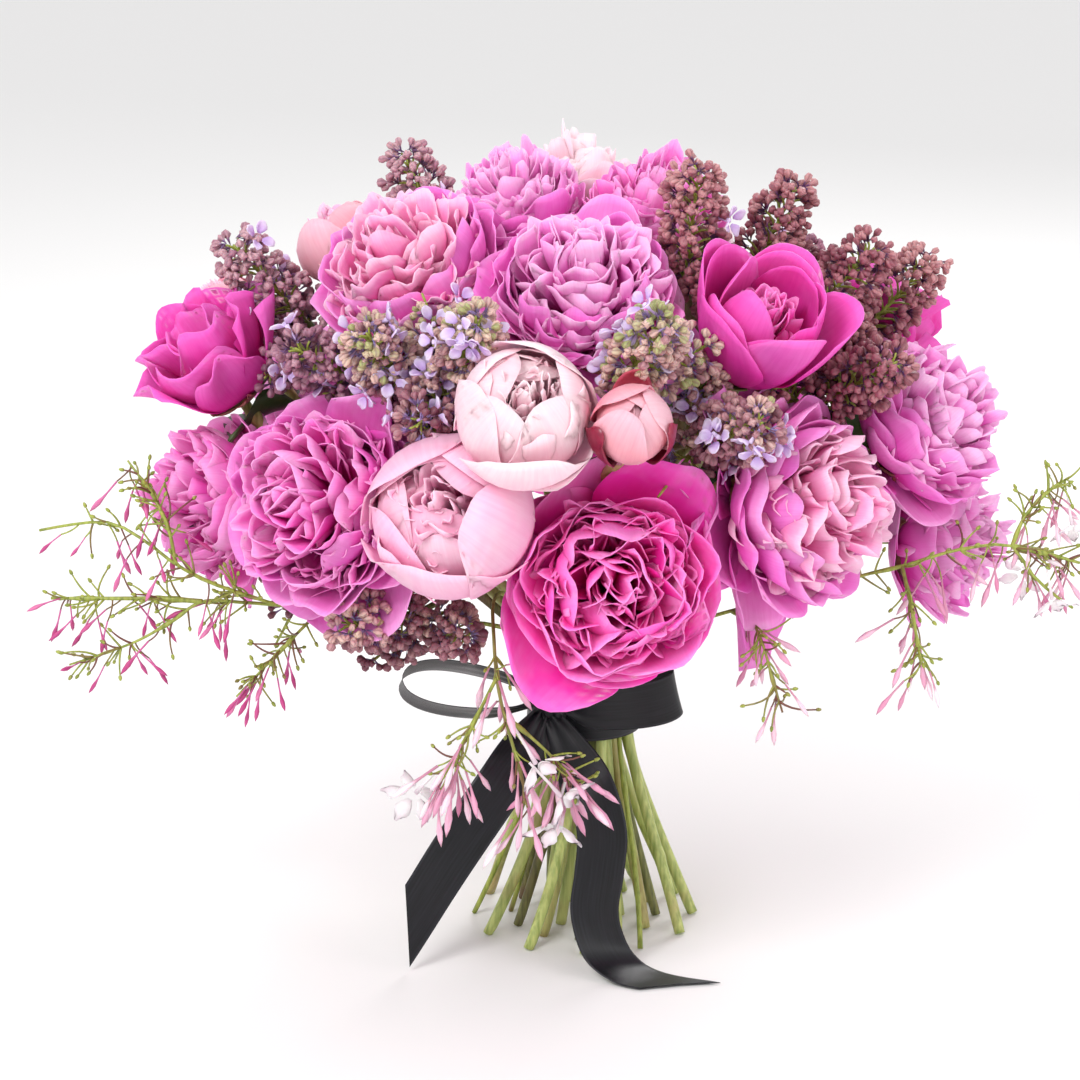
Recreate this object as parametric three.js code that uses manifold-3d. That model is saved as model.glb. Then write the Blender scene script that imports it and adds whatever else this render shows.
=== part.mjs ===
// A hand-tied bunch of peonies that stands on its own cut stems: peony heads and
// buds on their stems, lilac sprays, trailing jasmine, a twine tie and a satin
// ribbon bow.
//
// Frame: millimetres, +Z up. The origin is the middle of the central stem's cut
// end, on the surface that the bunch stands on. -Y is the front and +X the right.

import * as THREE from "three";
import { mergeVertices } from "three/addons/utils/BufferGeometryUtils.js";
import Module from "manifold-3d";

// ---------------------------------------------------------------- dimensions

const TIE_HEIGHT = 140; // from the surface to the middle of the tie
const FOOT_RADIUS = 68; // of the circle that the outermost cut ends stand on
const SPIRAL = 26; // degrees that the stems wind round between tie and surface

const BLOOM = 120; // across a fully open bloom; the head mass is laid out from it
const LAYOUT_BLOOM = 120; // the bloom size that the places below are drawn for

const PEONY_STEM = 7; // stem diameters
const SIDE_STEM = 4.5; // of a side stem that carries a bud
const LILAC_STEM = 6;
const LILAC_TWIG = 4;
const JASMINE_VINE = 3.4;
const JASMINE_TWIG = 2.4;
const STEM_SPACING = 1.5; // clear space between stems at the tie
const SEAT_GAP = 0.3; // between two pieces that touch
const NECK = 14; // the straight end of a stem below its head
const SETTLED_GAP = 1.2; // least space that settling leaves round a stem

const TWINE = 2; // diameter of the tying twine
const TWINE_TURNS = 4;

const RIBBON_WIDTH = 30;
const RIBBON_THICKNESS = 1;
const LOOP_REACH = 92; // how far each bow loop reaches from the knot
const LOOP_OPENING = 34; // the widest opening of a loop
const KNOT = { across: 24, deep: 13, tall: 24 };
const KNOT_RISE = 12; // of the knot's middle above the tie's
const KNOT_TURN = -122; // degrees round the tie at which the knot sits
const GATHER = 0.3; // share of its width that a loop is gathered to at the knot
const GATHER_REACH = 50; // length over which it opens out again
const TAIL_CUT = 42; // how much further one edge of a tail's slanting cut runs

const PANICLE_ACROSS = 46; // a lilac panicle's greatest width
const PANICLE_LENGTH = 78;

// Facets: round pieces are polygons with this many sides.
const HEAD_SIDES = 15;
const PANICLE_SIDES = 8;
const STEM_SIDES = 6;
const TWIG_SIDES = 5;
const RING_SIDES = 36;
const STEM_STEP = 22; // length of stem to each facet

const GUARD_PETALS = 5; // lobes round a head
const LOBE_DEPTH = 0.08; // how far in the head dips between them, as a share

const layout = BLOOM / LAYOUT_BLOOM;

// ---------------------------------------------------------------- materials

const finish = (color, roughness) =>
  new THREE.MeshStandardMaterial({ color, roughness, metalness: 0 });

const MATERIALS = {
  pink: finish("#e57fbe", 0.6),
  soft_pink: finish("#f2a9c8", 0.6),
  mauve_pink: finish("#e9a2d4", 0.6),
  hot_pink: finish("#e0348f", 0.55),
  magenta: finish("#d8439f", 0.55),
  blush: finish("#f8d3dc", 0.6),
  peach: finish("#eba79b", 0.6),
  stem_green: finish("#7f9448", 0.55),
  lilac: finish("#86566a", 0.7),
  jasmine: finish("#8b9a4b", 0.6),
  twine: finish("#a98f63", 0.9),
  ribbon: finish("#141417", 0.35),
};

// ---------------------------------------------------------------- the layout

// The outline of each kind of head: [radius, height] from its seat on the stem,
// in half-widths of the head. `middle` is the height of the place given for it.
const KINDS = {
  full: {
    middle: 0.78,
    outline: [[0.26, 0], [0.7, 0.26], [1, 0.6], [0.97, 0.95], [0.74, 1.25], [0.4, 1.42]],
    top: 1.46,
  },
  open: {
    middle: 0.62,
    outline: [[0.26, 0], [0.74, 0.24], [1, 0.58], [0.98, 0.85], [0.74, 1.08], [0.4, 1.17]],
    top: 1.19,
  },
  globe: {
    middle: 0.92,
    outline: [[0.3, 0], [0.76, 0.3], [1, 0.85], [0.92, 1.3], [0.62, 1.66], [0.3, 1.8]],
    top: 1.82,
  },
  cup: {
    middle: 1.0,
    outline: [[0.3, 0], [0.78, 0.36], [0.97, 0.9], [0.96, 1.45], [0.74, 1.9], [0.4, 1.98]],
    top: 1.9,
  },
  bud: {
    middle: 1.0,
    outline: [[0.36, 0], [0.82, 0.4], [1, 0.95], [0.86, 1.48], [0.5, 1.84], [0.24, 1.96]],
    top: 1.98,
  },
};

// Every peony head: its middle measured from the tie, the way it faces, and its
// width. A head with `on` is a side bud and sits on that head's stem.
const HEADS = {
  hot_pink_front: {
    kind: "open", color: "hot_pink", across: 124,
    at: [16, -172, 126], faces: [0.12, -0.96, 0.24],
  },
  pink_globe: {
    kind: "globe", color: "soft_pink", across: 86,
    at: [-78, -178, 168], faces: [-0.2, -0.84, 0.5],
  },
  blush_globe: {
    kind: "globe", color: "blush", across: 70,
    at: [-36, -196, 232], faces: [0.05, -0.76, 0.64],
  },
  bud_front: {
    kind: "bud", color: "peach", across: 42,
    at: [24, -206, 227], faces: [0.1, -0.72, 0.68],
    on: "blush_globe",
  },
  pink_left_front: {
    kind: "full", color: "pink", across: 112,
    at: [-157, -118, 158], faces: [-0.48, -0.82, 0.3],
  },
  pink_far_left: {
    kind: "full", color: "pink", across: 92,
    at: [-226, -28, 136], faces: [-0.88, -0.42, 0.2],
  },
  magenta_far_left: {
    kind: "cup", color: "magenta", across: 66,
    at: [-222, -22, 222], faces: [-0.5, -0.25, 0.83],
  },
  bud_far_left: {
    kind: "bud", color: "peach", across: 40,
    at: [-218, 32, 240], faces: [-0.6, 0.1, 0.8],
    on: "magenta_far_left",
  },
  pink_upper_left: {
    kind: "full", color: "soft_pink", across: 104,
    at: [-104, -62, 286], faces: [-0.32, -0.56, 0.76],
  },
  peach_upper_left: {
    kind: "bud", color: "peach", across: 50,
    at: [-146, 20, 284], faces: [-0.5, 0.1, 0.86],
    on: "pink_upper_left",
  },
  mauve_top: {
    kind: "full", color: "mauve_pink", across: 80,
    at: [-40, 4, 312], faces: [-0.2, -0.15, 0.97],
  },
  pink_top: {
    kind: "full", color: "pink", across: 80,
    at: [42, 0, 308], faces: [0.2, -0.2, 0.96],
  },
  white_top_back: {
    kind: "full", color: "blush", across: 80,
    at: [-6, 78, 306], faces: [0, 0.4, 0.92],
  },
  pink_centre: {
    kind: "full", color: "mauve_pink", across: 104,
    at: [-2, -104, 282], faces: [0, -0.6, 0.8],
  },
  magenta_cup: {
    kind: "cup", color: "hot_pink", across: 78,
    at: [100, -112, 262], faces: [0.28, -0.5, 0.82],
  },
  pink_right_front: {
    kind: "full", color: "soft_pink", across: 110,
    at: [130, -120, 156], faces: [0.8, -0.56, 0.16],
  },
  pink_right: {
    kind: "full", color: "mauve_pink", across: 100,
    at: [204, -34, 190], faces: [0.68, -0.36, 0.62],
  },
  pink_far_right_low: {
    kind: "full", color: "mauve_pink", across: 88,
    at: [222, 2, 104], faces: [0.92, -0.2, 0.1],
  },
  magenta_right_back: {
    kind: "cup", color: "magenta", across: 64,
    at: [176, 62, 226], faces: [0.6, 0.3, 0.72],
  },
  pink_back_left: {
    kind: "full", color: "pink", across: 116,
    at: [-158, 104, 160], faces: [-0.7, 0.64, 0.3],
  },
  hot_pink_back: {
    kind: "open", color: "hot_pink", across: 122,
    at: [-28, 172, 142], faces: [-0.1, 0.94, 0.3],
  },
  pink_back_right: {
    kind: "full", color: "mauve_pink", across: 112,
    at: [104, 140, 156], faces: [0.6, 0.74, 0.3],
  },
  blush_back: {
    kind: "globe", color: "blush", across: 84,
    at: [50, 134, 254], faces: [0.24, 0.7, 0.66],
  },
  magenta_back: {
    kind: "cup", color: "magenta", across: 80,
    at: [-70, 118, 246], faces: [-0.36, 0.58, 0.74],
  },
};

// Every lilac spray: where its woody stem forks, and the middle and direction
// of each flower panicle, measured from the tie.
const LILACS = {
  left: {
    fork: [-120, -40, 196],
    panicles: [
      { at: [-190, -8, 262], along: [-0.6, -0.3, 0.75] },
      { at: [-146, -88, 226], along: [-0.6, -0.62, 0.5] },
    ],
  },
  centre_left: {
    fork: [-62, -100, 190],
    panicles: [
      { at: [-104, -122, 244], along: [-0.3, -0.7, 0.65] },
      { at: [-62, -156, 250], along: [0.2, -0.8, 0.55] },
    ],
  },
  centre_right: {
    fork: [44, -104, 186],
    panicles: [
      { at: [28, -168, 262], along: [0.3, -0.7, 0.65] },
      { at: [84, -152, 208], along: [0.4, -0.84, 0.36] },
    ],
  },
  upper_right: {
    fork: [70, -22, 214],
    panicles: [
      { at: [58, -52, 312], along: [0.1, -0.25, 0.96] },
      { at: [110, -8, 292], along: [0.4, -0.1, 0.9] },
      { at: [148, -36, 268], along: [0.6, -0.3, 0.74] },
    ],
  },
  right: {
    fork: [110, -24, 160],
    panicles: [
      { at: [186, 12, 246], along: [0.65, 0, 0.76] },
      { at: [160, -82, 212], along: [0.6, -0.6, 0.52] },
    ],
  },
  low_left: {
    fork: [-70, -30, 84],
    panicles: [
      { at: [-120, -104, 84], along: [-0.6, -0.76, 0.1] },
      { at: [-208, 38, 84], along: [-0.95, 0.2, 0.1] },
    ],
  },
  back: {
    fork: [10, 80, 170],
    panicles: [
      { at: [-8, 158, 236], along: [-0.1, 0.8, 0.6] },
      { at: [122, 84, 238], along: [0.5, 0.5, 0.7] },
      { at: [-96, 50, 300], along: [-0.4, 0.3, 0.86] },
    ],
  },
};

// Every jasmine vine: the points that its free end passes through, and its side
// twigs, measured from the tie.
const JASMINES = {
  left: {
    vine: [[-70, -40, 62], [-150, -62, 76], [-222, -66, 84], [-316, -62, 84]],
    twigs: [
      [[-190, -66, 80], [-232, -84, 106], [-276, -70, 132], [-322, -56, 124]],
      [[-232, -84, 106], [-246, -80, 140], [-268, -62, 168]],
      [[-222, -66, 84], [-262, -72, 62], [-306, -66, 44]],
      [[-150, -62, 76], [-180, -76, 56], [-206, -84, 30]],
    ],
  },
  front: {
    vine: [[-36, -58, 74], [-54, -104, 98], [-54, -142, 84], [-48, -146, 40]],
    twigs: [
      [[-50, -145, 54], [-72, -148, 22], [-86, -138, -6]],
      [[-48, -146, 44], [-24, -150, 20], [-2, -140, -8]],
      [[-48, -146, 40], [-38, -146, 4], [-30, -138, -42]],
    ],
  },
  right: {
    vine: [[64, -40, 62], [92, -80, 84], [128, -64, 88], [180, -78, 108], [242, -66, 118], [292, -56, 104]],
    twigs: [
      [[92, -80, 84], [98, -124, 84], [104, -140, 66], [112, -142, 40]],
      [[180, -78, 108], [190, -96, 84], [196, -100, 50]],
      [[242, -66, 118], [262, -60, 140], [284, -54, 156]],
      [[242, -66, 118], [266, -66, 96], [288, -62, 78]],
    ],
  },
};

// The bow: the way each loop runs out from the knot, and across its ribbon.
const LOOPS = [
  { along: [-0.93, -0.26, 0.2], across: [0.1, -0.85, 0.5] },
  { along: [0.82, -0.54, 0.22], across: [-0.2, -0.2, 0.96] },
];

// The furthest that a corner of a tail's slanting end can lie below its middle.
const CORNER_DROP = Math.hypot(RIBBON_WIDTH, TAIL_CUT) / 2;

// The tails: points of the ribbon's middle and the way across it there. `at` is
// out from the knot's middle in ribbon widths, and `down` a share of the way from
// the tie to the level that the tail's end comes down to.
const TAILS = {
  left: {
    level: CORNER_DROP + RIBBON_THICKNESS,
    points: [
      { at: [-0.43, -0.53], down: 0.124, across: [0.8, -0.2, -0.56] },
      { at: [-0.97, -1.07], down: 0.284, across: [0.8, -0.1, -0.58] },
      { at: [-1.93, -1.63], down: 0.631, across: [0.82, 0, -0.57] },
      { at: [-2.8, -1.87], down: 0.989, across: [0.8, 0.1, -0.58] },
    ],
  },
  right: {
    level: RIBBON_THICKNESS,
    points: [
      { at: [0.3, -0.6], down: 0.101, across: [0.84, -0.3, 0.4] },
      { at: [0.8, -1.13], down: 0.212, across: [0.9, -0.1, 0.4] },
      { at: [1.07, -1.53], down: 0.393, across: [1, 0, 0.1] },
      { at: [1.03, -1.77], down: 0.564, across: [1, 0.1, -0.1] },
      { at: [0.93, -1.9], down: 0.735, across: [1, 0.25, -0.1] },
      { at: [1.1, -2.03], down: 0.876, across: [0.9, 0.42, 0] },
      { at: [1.5, -2.23], down: 0.962, across: [0.72, 0.68, 0] },
      { at: [2.03, -2.47], down: 0.996, across: [0.55, 0.83, 0] },
      { at: [2.57, -2.73], down: 0.998, across: [0.5, 0.86, 0] },
    ],
  },
};

// ---------------------------------------------------------------- solids

const wasm = await Module();
wasm.setup();

const UP = new THREE.Vector3(0, 0, 1);
const vector = (p) => new THREE.Vector3(...p);

// A place in the head mass, given from the tie and scaled with the blooms.
const fromTie = (p) => vector(p).multiplyScalar(layout).add(new THREE.Vector3(0, 0, TIE_HEIGHT));

function solidOf(geometry) {
  const bare = geometry.index ? geometry.toNonIndexed() : geometry.clone();
  bare.deleteAttribute("normal");
  bare.deleteAttribute("uv");
  const merged = mergeVertices(bare, 1e-3);
  return new wasm.Manifold(
    new wasm.Mesh({
      numProp: 3,
      vertProperties: merged.attributes.position.array,
      triVerts: new Uint32Array(merged.index.array),
    }),
  );
}

function geometryOf(solid) {
  const mesh = solid.getMesh();
  return new THREE.BufferGeometry()
    .setAttribute("position", new THREE.BufferAttribute(mesh.vertProperties, 3))
    .setIndex(new THREE.BufferAttribute(mesh.triVerts, 1));
}

const joined = (geometries) =>
  geometryOf(geometries.map(solidOf).reduce((whole, next) => whole.add(next)));

// Whatever reaches below the surface that the bunch stands on is cut off flat.
const BELOW = 40;
const floorBlock = new THREE.BoxGeometry(8 * FOOT_RADIUS, 8 * FOOT_RADIUS, BELOW);
floorBlock.translate(0, 0, -BELOW / 2);
const cutAtFloor = (geometry) => geometryOf(solidOf(geometry).subtract(solidOf(floorBlock)));

function polygon(diameter, sides) {
  const corners = Array.from({ length: sides }, (_, i) => {
    const angle = (2 * Math.PI * i) / sides;
    return new THREE.Vector2(Math.cos(angle), Math.sin(angle)).multiplyScalar(diameter / 2);
  });
  return new THREE.Shape(corners);
}

// A smooth curve whose facets end exactly at its points.
class ThroughPoints extends THREE.CatmullRomCurve3 {
  getPointAt(u, target) {
    return this.getPoint(u, target);
  }

  getTangentAt(u, target) {
    return this.getTangent(u, target);
  }
}

function tube(points, diameter) {
  const section = polygon(diameter, diameter < SIDE_STEM ? TWIG_SIDES : STEM_SIDES);
  const path = new ThroughPoints(points);
  return new THREE.ExtrudeGeometry(section, { steps: points.length - 1, extrudePath: path });
}

// A ribbon along `stations`, each with a middle, a direction across, a share of
// the full width and a pair of shifts that slide the two edges along the ribbon.
function ribbonAlong(stations) {
  const corners = [];
  stations.forEach(({ at, across, share = 1, shift = [0, 0] }, i) => {
    const before = stations[Math.max(0, i - 1)].at;
    const after = stations[Math.min(stations.length - 1, i + 1)].at;
    const along = after.clone().sub(before).normalize();
    const side = across.clone().addScaledVector(along, -across.dot(along)).normalize();
    const out = along.clone().cross(side);
    for (const [edge, face] of [[-1, -1], [1, -1], [1, 1], [-1, 1]]) {
      corners.push(
        at.clone()
          .addScaledVector(side, (edge * share * RIBBON_WIDTH) / 2)
          .addScaledVector(out, (face * RIBBON_THICKNESS) / 2)
          .addScaledVector(along, edge < 0 ? shift[0] : shift[1]),
      );
    }
  });
  const triangles = [[0, 2, 1], [0, 3, 2]];
  for (let s = 0; s + 1 < stations.length; s++) {
    for (let c = 0; c < 4; c++) {
      const [a, b] = [4 * s + c, 4 * s + ((c + 1) % 4)];
      triangles.push([a, b, b + 4], [a, b + 4, a + 4]);
    }
  }
  const last = 4 * (stations.length - 1);
  triangles.push([last, last + 1, last + 2], [last, last + 2, last + 3]);
  const geometry = new THREE.BufferGeometry().setFromPoints(corners);
  geometry.setIndex(triangles.flat());
  return geometry;
}

// A closed body turned round +Z from an outline of [radius, height] points.
function turned(outline, sides, closesOnAxis) {
  const points = outline.map(([r, z]) => new THREE.Vector2(r, z));
  if (!closesOnAxis) points.push(points[0].clone());
  const body = new THREE.LatheGeometry(points, sides);
  body.rotateX(Math.PI / 2);
  return body;
}

// ---------------------------------------------------------------- settling

// Heads and panicles are taken as eggs that are in the way, stems and twigs as
// strands of points. Strands that would touch another piece are eased off it.

const eggs = []; // { piece, centre, facing, radius, stretch }
const strands = []; // { piece, points, start, radius, free: [first, last], from }

// How far a point lies inside an egg grown by `margin`, and the way out of it.
const scaled = new THREE.Vector3();
function insideEgg(point, egg, margin, out) {
  scaled.subVectors(point, egg.centre);
  const squeeze = 1 / egg.stretch - 1;
  scaled.addScaledVector(egg.facing, scaled.dot(egg.facing) * squeeze);
  const depth = egg.radius + margin - scaled.length();
  if (depth > 0) {
    out.copy(scaled).addScaledVector(egg.facing, scaled.dot(egg.facing) * squeeze).normalize();
  }
  return depth;
}

const segment = new THREE.Line3();
const nearest = new THREE.Vector3();
const away = new THREE.Vector3();
const probe = new THREE.Vector3();
let moved = 0; // the furthest push of a round

// A strand is felt at its points (`half` 0) and between them (`half` 1).
function probeAt(strand, i, half) {
  if (!half) return probe.copy(strand.points[i]);
  return probe.addVectors(strand.points[i], strand.points[i + 1]).divideScalar(2);
}

function pushAt(strand, i, half, direction, distance) {
  for (const k of half ? [i, i + 1] : [i]) {
    if (k < strand.free[0] || k > strand.free[1]) continue;
    strand.points[k].addScaledVector(direction, distance);
    moved = Math.max(moved, Math.abs(distance));
  }
}

function easeApart(a, b) {
  const need = a.radius + b.radius + SETTLED_GAP;
  for (let k = 0; k < 2 * a.points.length - 1; k++) {
    const [i, half] = [k >> 1, k & 1];
    for (let j = 0; j + 1 < b.points.length; j++) {
      segment.set(b.points[j], b.points[j + 1]);
      segment.closestPointToPoint(probeAt(a, i, half), true, nearest);
      away.subVectors(probe, nearest);
      const distance = away.length();
      if (distance >= need || distance === 0) continue;
      away.divideScalar(distance);
      pushAt(a, i, half, away, (need - distance) / 2);
      pushAt(b, j, 1, away, (distance - need) / 2);
    }
  }
}

function easeOff(strand, egg) {
  for (let k = 0; k < 2 * strand.points.length - 1; k++) {
    const [i, half] = [k >> 1, k & 1];
    const depth = insideEgg(probeAt(strand, i, half), egg, strand.radius + SETTLED_GAP, away);
    if (depth > 0) pushAt(strand, i, half, away, depth);
  }
}

// The shifts of a strand are evened out along it, so that it stays smooth.
function smooth(strand) {
  const shifts = strand.points.map((p, i) => p.clone().sub(strand.start[i]));
  for (let i = strand.free[0]; i <= strand.free[1]; i++) {
    const before = shifts[i - 1] ?? shifts[i];
    const after = shifts[i + 1] ?? shifts[i];
    const even = shifts[i].clone().multiplyScalar(2).add(before).add(after).divideScalar(4);
    strand.points[i].copy(strand.start[i]).add(even);
  }
}

const SETTLING_ROUNDS = 200;
const SMOOTHED_ROUNDS = 60; // the later rounds only ease apart
const SETTLED = 0.02; // when no push of a round is longer, all is settled
function settle() {
  for (let round = 0; round < SETTLING_ROUNDS; round++) {
    moved = 0;
    for (const a of strands) {
      for (const b of strands) if (a.piece !== b.piece) easeApart(a, b);
      for (const egg of eggs) {
        if (egg.piece !== a.piece && egg.carrier !== a.piece) easeOff(a, egg);
      }
    }
    if (round < SMOOTHED_ROUNDS) strands.forEach(smooth);
    else if (moved < SETTLED) break;
    for (const { from, points } of strands) if (from) points[0].copy(from.points[from.index]);
  }
}

function addStrand(piece, points, diameter, free, from) {
  const start = points.map((p) => p.clone());
  const strand = { piece, points, start, radius: diameter / 2, diameter, free, from };
  strands.push(strand);
  return strand;
}

// A twig leaves the nearest point of the strands that its piece already has.
function addTwig(piece, points, diameter) {
  let from = null;
  for (const strand of strands.filter((s) => s.piece === piece)) {
    strand.points.forEach((p, index) => {
      const distance = p.distanceTo(points[0]);
      if (!from || distance < from.distance) from = { points: strand.points, index, distance };
    });
  }
  const fine = new THREE.CatmullRomCurve3([from.points[from.index].clone(), ...points.slice(1)]);
  const count = Math.max(3, Math.round(fine.getLength() / STEM_STEP));
  const along = fine.getSpacedPoints(count);
  return addStrand(piece, along, diameter, [1, count - 1], from);
}

// ---------------------------------------------------------------- stems

// The stems stand in rings at the tie, the most upright in the middle. The rings
// hold up to 1, 6, 12 and 18 stems.
const ringRadius = (ring) => ring * (PEONY_STEM + STEM_SPACING);
const ringRoom = (ring) => (ring === 0 ? 1 : 6 * ring);

function fillRings(stems) {
  const byTilt = [...stems].sort((a, b) => a.tilt - b.tilt);
  const filled = [];
  while (byTilt.length) filled.push(byTilt.splice(0, ringRoom(filled.length)));
  return filled;
}

// Puts the stems of a ring round it in the order of the ways that they lean.
function spaceRound(ring, radius) {
  const inOrder = [...ring].sort((a, b) => a.heading - b.heading);
  const pitch = (2 * Math.PI) / inOrder.length;
  const offsets = inOrder.map((stem, i) => stem.heading - i * pitch);
  const offset = Math.atan2(
    offsets.reduce((sum, a) => sum + Math.sin(a), 0),
    offsets.reduce((sum, a) => sum + Math.cos(a), 0),
  );
  inOrder.forEach((stem, i) => {
    stem.slot = { radius, angle: offset + i * pitch };
  });
}

const turnRate = THREE.MathUtils.degToRad(SPIRAL) / TIE_HEIGHT;

// A stem's place near and below the tie, where it winds outwards in a spiral.
function spiralPoint({ radius, angle }, height) {
  const r = radius * Math.hypot(1, height / spread);
  const a = angle + turnRate * height;
  return new THREE.Vector3(r * Math.cos(a), r * Math.sin(a), TIE_HEIGHT + height);
}

// Points of a bend that leaves `start` along `rise` and arrives straight at `end`
// along `facing`.
function bendTo(start, rise, end, facing) {
  const neck = end.clone().addScaledVector(facing, -NECK);
  const reach = start.distanceTo(neck);
  const bend = new THREE.CubicBezierCurve3(
    start,
    start.clone().addScaledVector(rise, 0.32 * reach),
    neck.clone().addScaledVector(facing, -0.4 * reach),
    neck,
  );
  const count = Math.max(3, Math.round(bend.getLength() / STEM_STEP));
  return [...bend.getSpacedPoints(count), end.clone()];
}

// Above the tie a stem bends over to `seat` and arrives there facing `facing`.
function stemPoints({ slot, seat, facing }) {
  const lowest = -(TIE_HEIGHT + BELOW / 4);
  const top = RIBBON_WIDTH / 2;
  const lowCount = Math.round((top - lowest) / STEM_STEP);
  const lower = Array.from({ length: lowCount + 1 }, (_, i) =>
    spiralPoint(slot, lowest + ((top - lowest) * i) / lowCount),
  );
  const rise = lower.at(-1).clone().sub(spiralPoint(slot, 0)).normalize();
  const upper = bendTo(lower.at(-1), rise, seat, facing);
  return { points: [...lower, ...upper.slice(1)], firstFree: lowCount + 1 };
}

// ---------------------------------------------------------------- the pieces

const bunch = new THREE.Group();

function add(name, geometry, material) {
  const mesh = new THREE.Mesh(geometry, material);
  mesh.name = name;
  bunch.add(mesh);
  return mesh;
}

// Where each head sits on its stem, worked out from its middle.
for (const [name, head] of Object.entries(HEADS)) {
  const kind = KINDS[head.kind];
  head.radius = (head.across * layout) / 2;
  head.facing = vector(head.faces).normalize();
  head.centre = fromTie(head.at);
  head.seat = head.centre.clone().addScaledVector(head.facing, -kind.middle * head.radius);
  head.stemEnd = head.seat.clone().addScaledVector(head.facing, -SEAT_GAP);
  eggs.push({
    piece: `peony_${name}`,
    carrier: `stem_${head.on ?? name}`,
    centre: head.seat.clone().addScaledVector(head.facing, (kind.top / 2) * head.radius),
    facing: head.facing,
    radius: head.radius,
    stretch: kind.top / 2,
  });
}

// A head is turned from its outline, and dips in between its guard petals.
function addHead(name, { kind, radius, facing, seat, color }) {
  const { outline, top } = KINDS[kind];
  const scaledOutline = [[0, 0], ...outline, [0, top]].map((p) => p.map((s) => s * radius));
  const body = turned(scaledOutline, HEAD_SIDES, true);
  const place = body.attributes.position;
  for (let i = 0; i < place.count; i++) {
    const angle = Math.atan2(place.getY(i), place.getX(i));
    const dip = 1 - (LOBE_DEPTH * (1 - Math.cos(GUARD_PETALS * angle))) / 2;
    place.setXY(i, place.getX(i) * dip, place.getY(i) * dip);
  }
  const mesh = add(`peony_${name}`, body, MATERIALS[color]);
  mesh.quaternion.setFromUnitVectors(UP, facing);
  mesh.position.copy(seat);
}

// Each stem says what it aims at, so that the rings can be filled in order.
const tieMiddle = new THREE.Vector3(0, 0, TIE_HEIGHT);
function stemFor(piece, seat, facing, diameter) {
  const lean = seat.clone().sub(tieMiddle);
  return { piece, seat, facing, diameter, tilt: lean.angleTo(UP), heading: Math.atan2(lean.y, lean.x) };
}

// The panicles are eased off the heads, and off each other, as whole eggs.
const PANICLE_OUTLINE = [[0, 0], [0.55, 0.08], [1, 0.34], [0.86, 0.66], [0.42, 0.92], [0, 1]];
const panicles = Object.entries(LILACS).flatMap(([name, spray]) =>
  spray.panicles.map((given) => ({
    piece: `lilac_${name}`,
    fork: fromTie(spray.fork),
    centre: fromTie(given.at),
    facing: vector(given.along).normalize(),
    radius: (PANICLE_ACROSS * layout) / 2,
    stretch: PANICLE_LENGTH / PANICLE_ACROSS,
  })),
);
const PANICLE_ROUNDS = 80;
for (let round = 0; round < PANICLE_ROUNDS; round++) {
  for (const one of panicles) {
    for (const share of [-0.5, 0, 0.5]) {
      const width = one.radius * Math.sqrt(1 - share * share);
      for (const egg of [...eggs, ...panicles]) {
        if (egg === one) continue;
        const place = one.centre.clone().addScaledVector(one.facing, share * one.radius * one.stretch);
        const depth = insideEgg(place, egg, width + SEAT_GAP, away);
        if (depth > 0) one.centre.addScaledVector(away, depth / 3);
      }
    }
  }
}
eggs.push(...panicles);

const stems = [
  ...Object.entries(HEADS)
    .filter(([, head]) => !head.on)
    .map(([name, head]) => stemFor(`stem_${name}`, head.stemEnd, head.facing, PEONY_STEM)),
  ...Object.entries(LILACS).map(([name, spray]) => {
    const fork = fromTie(spray.fork);
    return stemFor(`lilac_${name}`, fork, fork.clone().sub(tieMiddle).normalize(), LILAC_STEM);
  }),
  ...Object.entries(JASMINES).map(([name, spray]) => {
    const [first, second] = spray.vine.slice(0, 2).map(fromTie);
    return stemFor(`jasmine_${name}`, first, second.sub(first).normalize(), JASMINE_VINE);
  }),
];

const stemRings = fillRings(stems);
const outerRadius = ringRadius(stemRings.length - 1);
const spread = TIE_HEIGHT / Math.sqrt((FOOT_RADIUS / outerRadius) ** 2 - 1);
stemRings.forEach((ring, i) => spaceRound(ring, ringRadius(i)));

// ---------------------------------------------------------------- the tie

// How far from the axis the stems reach at a height above the tie's middle.
function bundleReach(height) {
  const slack = 0.8; // a stem's half width where it leans
  return Math.max(
    ...stems.map(({ slot, diameter }) => {
      const { x, y } = spiralPoint(slot, height);
      return Math.hypot(x, y) + slack * diameter;
    }),
  );
}

function addBand(name, section, material) {
  const mesh = add(name, turned(section, RING_SIDES, false), material);
  mesh.position.z = TIE_HEIGHT;
}

// The inside corners of a many-sided ring lie further in than its radius says.
const ringSlack = 1 / Math.cos(Math.PI / RING_SIDES);
const twineHalf = (TWINE_TURNS * TWINE) / 2;
const twineInner = bundleReach(twineHalf) * ringSlack + SEAT_GAP;
const twineOuter = twineInner + TWINE;
const twineSection = [[twineInner, -twineHalf]];
for (let turn = 0; turn < TWINE_TURNS; turn++) {
  const low = turn * TWINE - twineHalf;
  twineSection.push([twineOuter - TWINE / 4, low + TWINE / 8], [twineOuter, low + TWINE / 2]);
  twineSection.push([twineOuter - TWINE / 4, low + (7 * TWINE) / 8]);
}
twineSection.push([twineInner, twineHalf]);
addBand("twine_tie", twineSection, MATERIALS.twine);

// The ribbon's wrap follows the waist of the bundle and clears the twine.
const wrapHalf = RIBBON_WIDTH / 2;
const wrapInner = [-1, -0.5, 0, 0.5, 1].map((share) => {
  const height = share * wrapHalf;
  const inner = Math.max(bundleReach(height), twineOuter) * ringSlack + 2 * SEAT_GAP;
  return [inner, height];
});
const wrapOuter = wrapInner.map(([r, z]) => [r + RIBBON_THICKNESS, z]);
const wrapSection = [wrapInner[0], ...wrapOuter, ...wrapInner.slice(1).reverse()];
addBand("ribbon_wrap", wrapSection, MATERIALS.ribbon);

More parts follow.
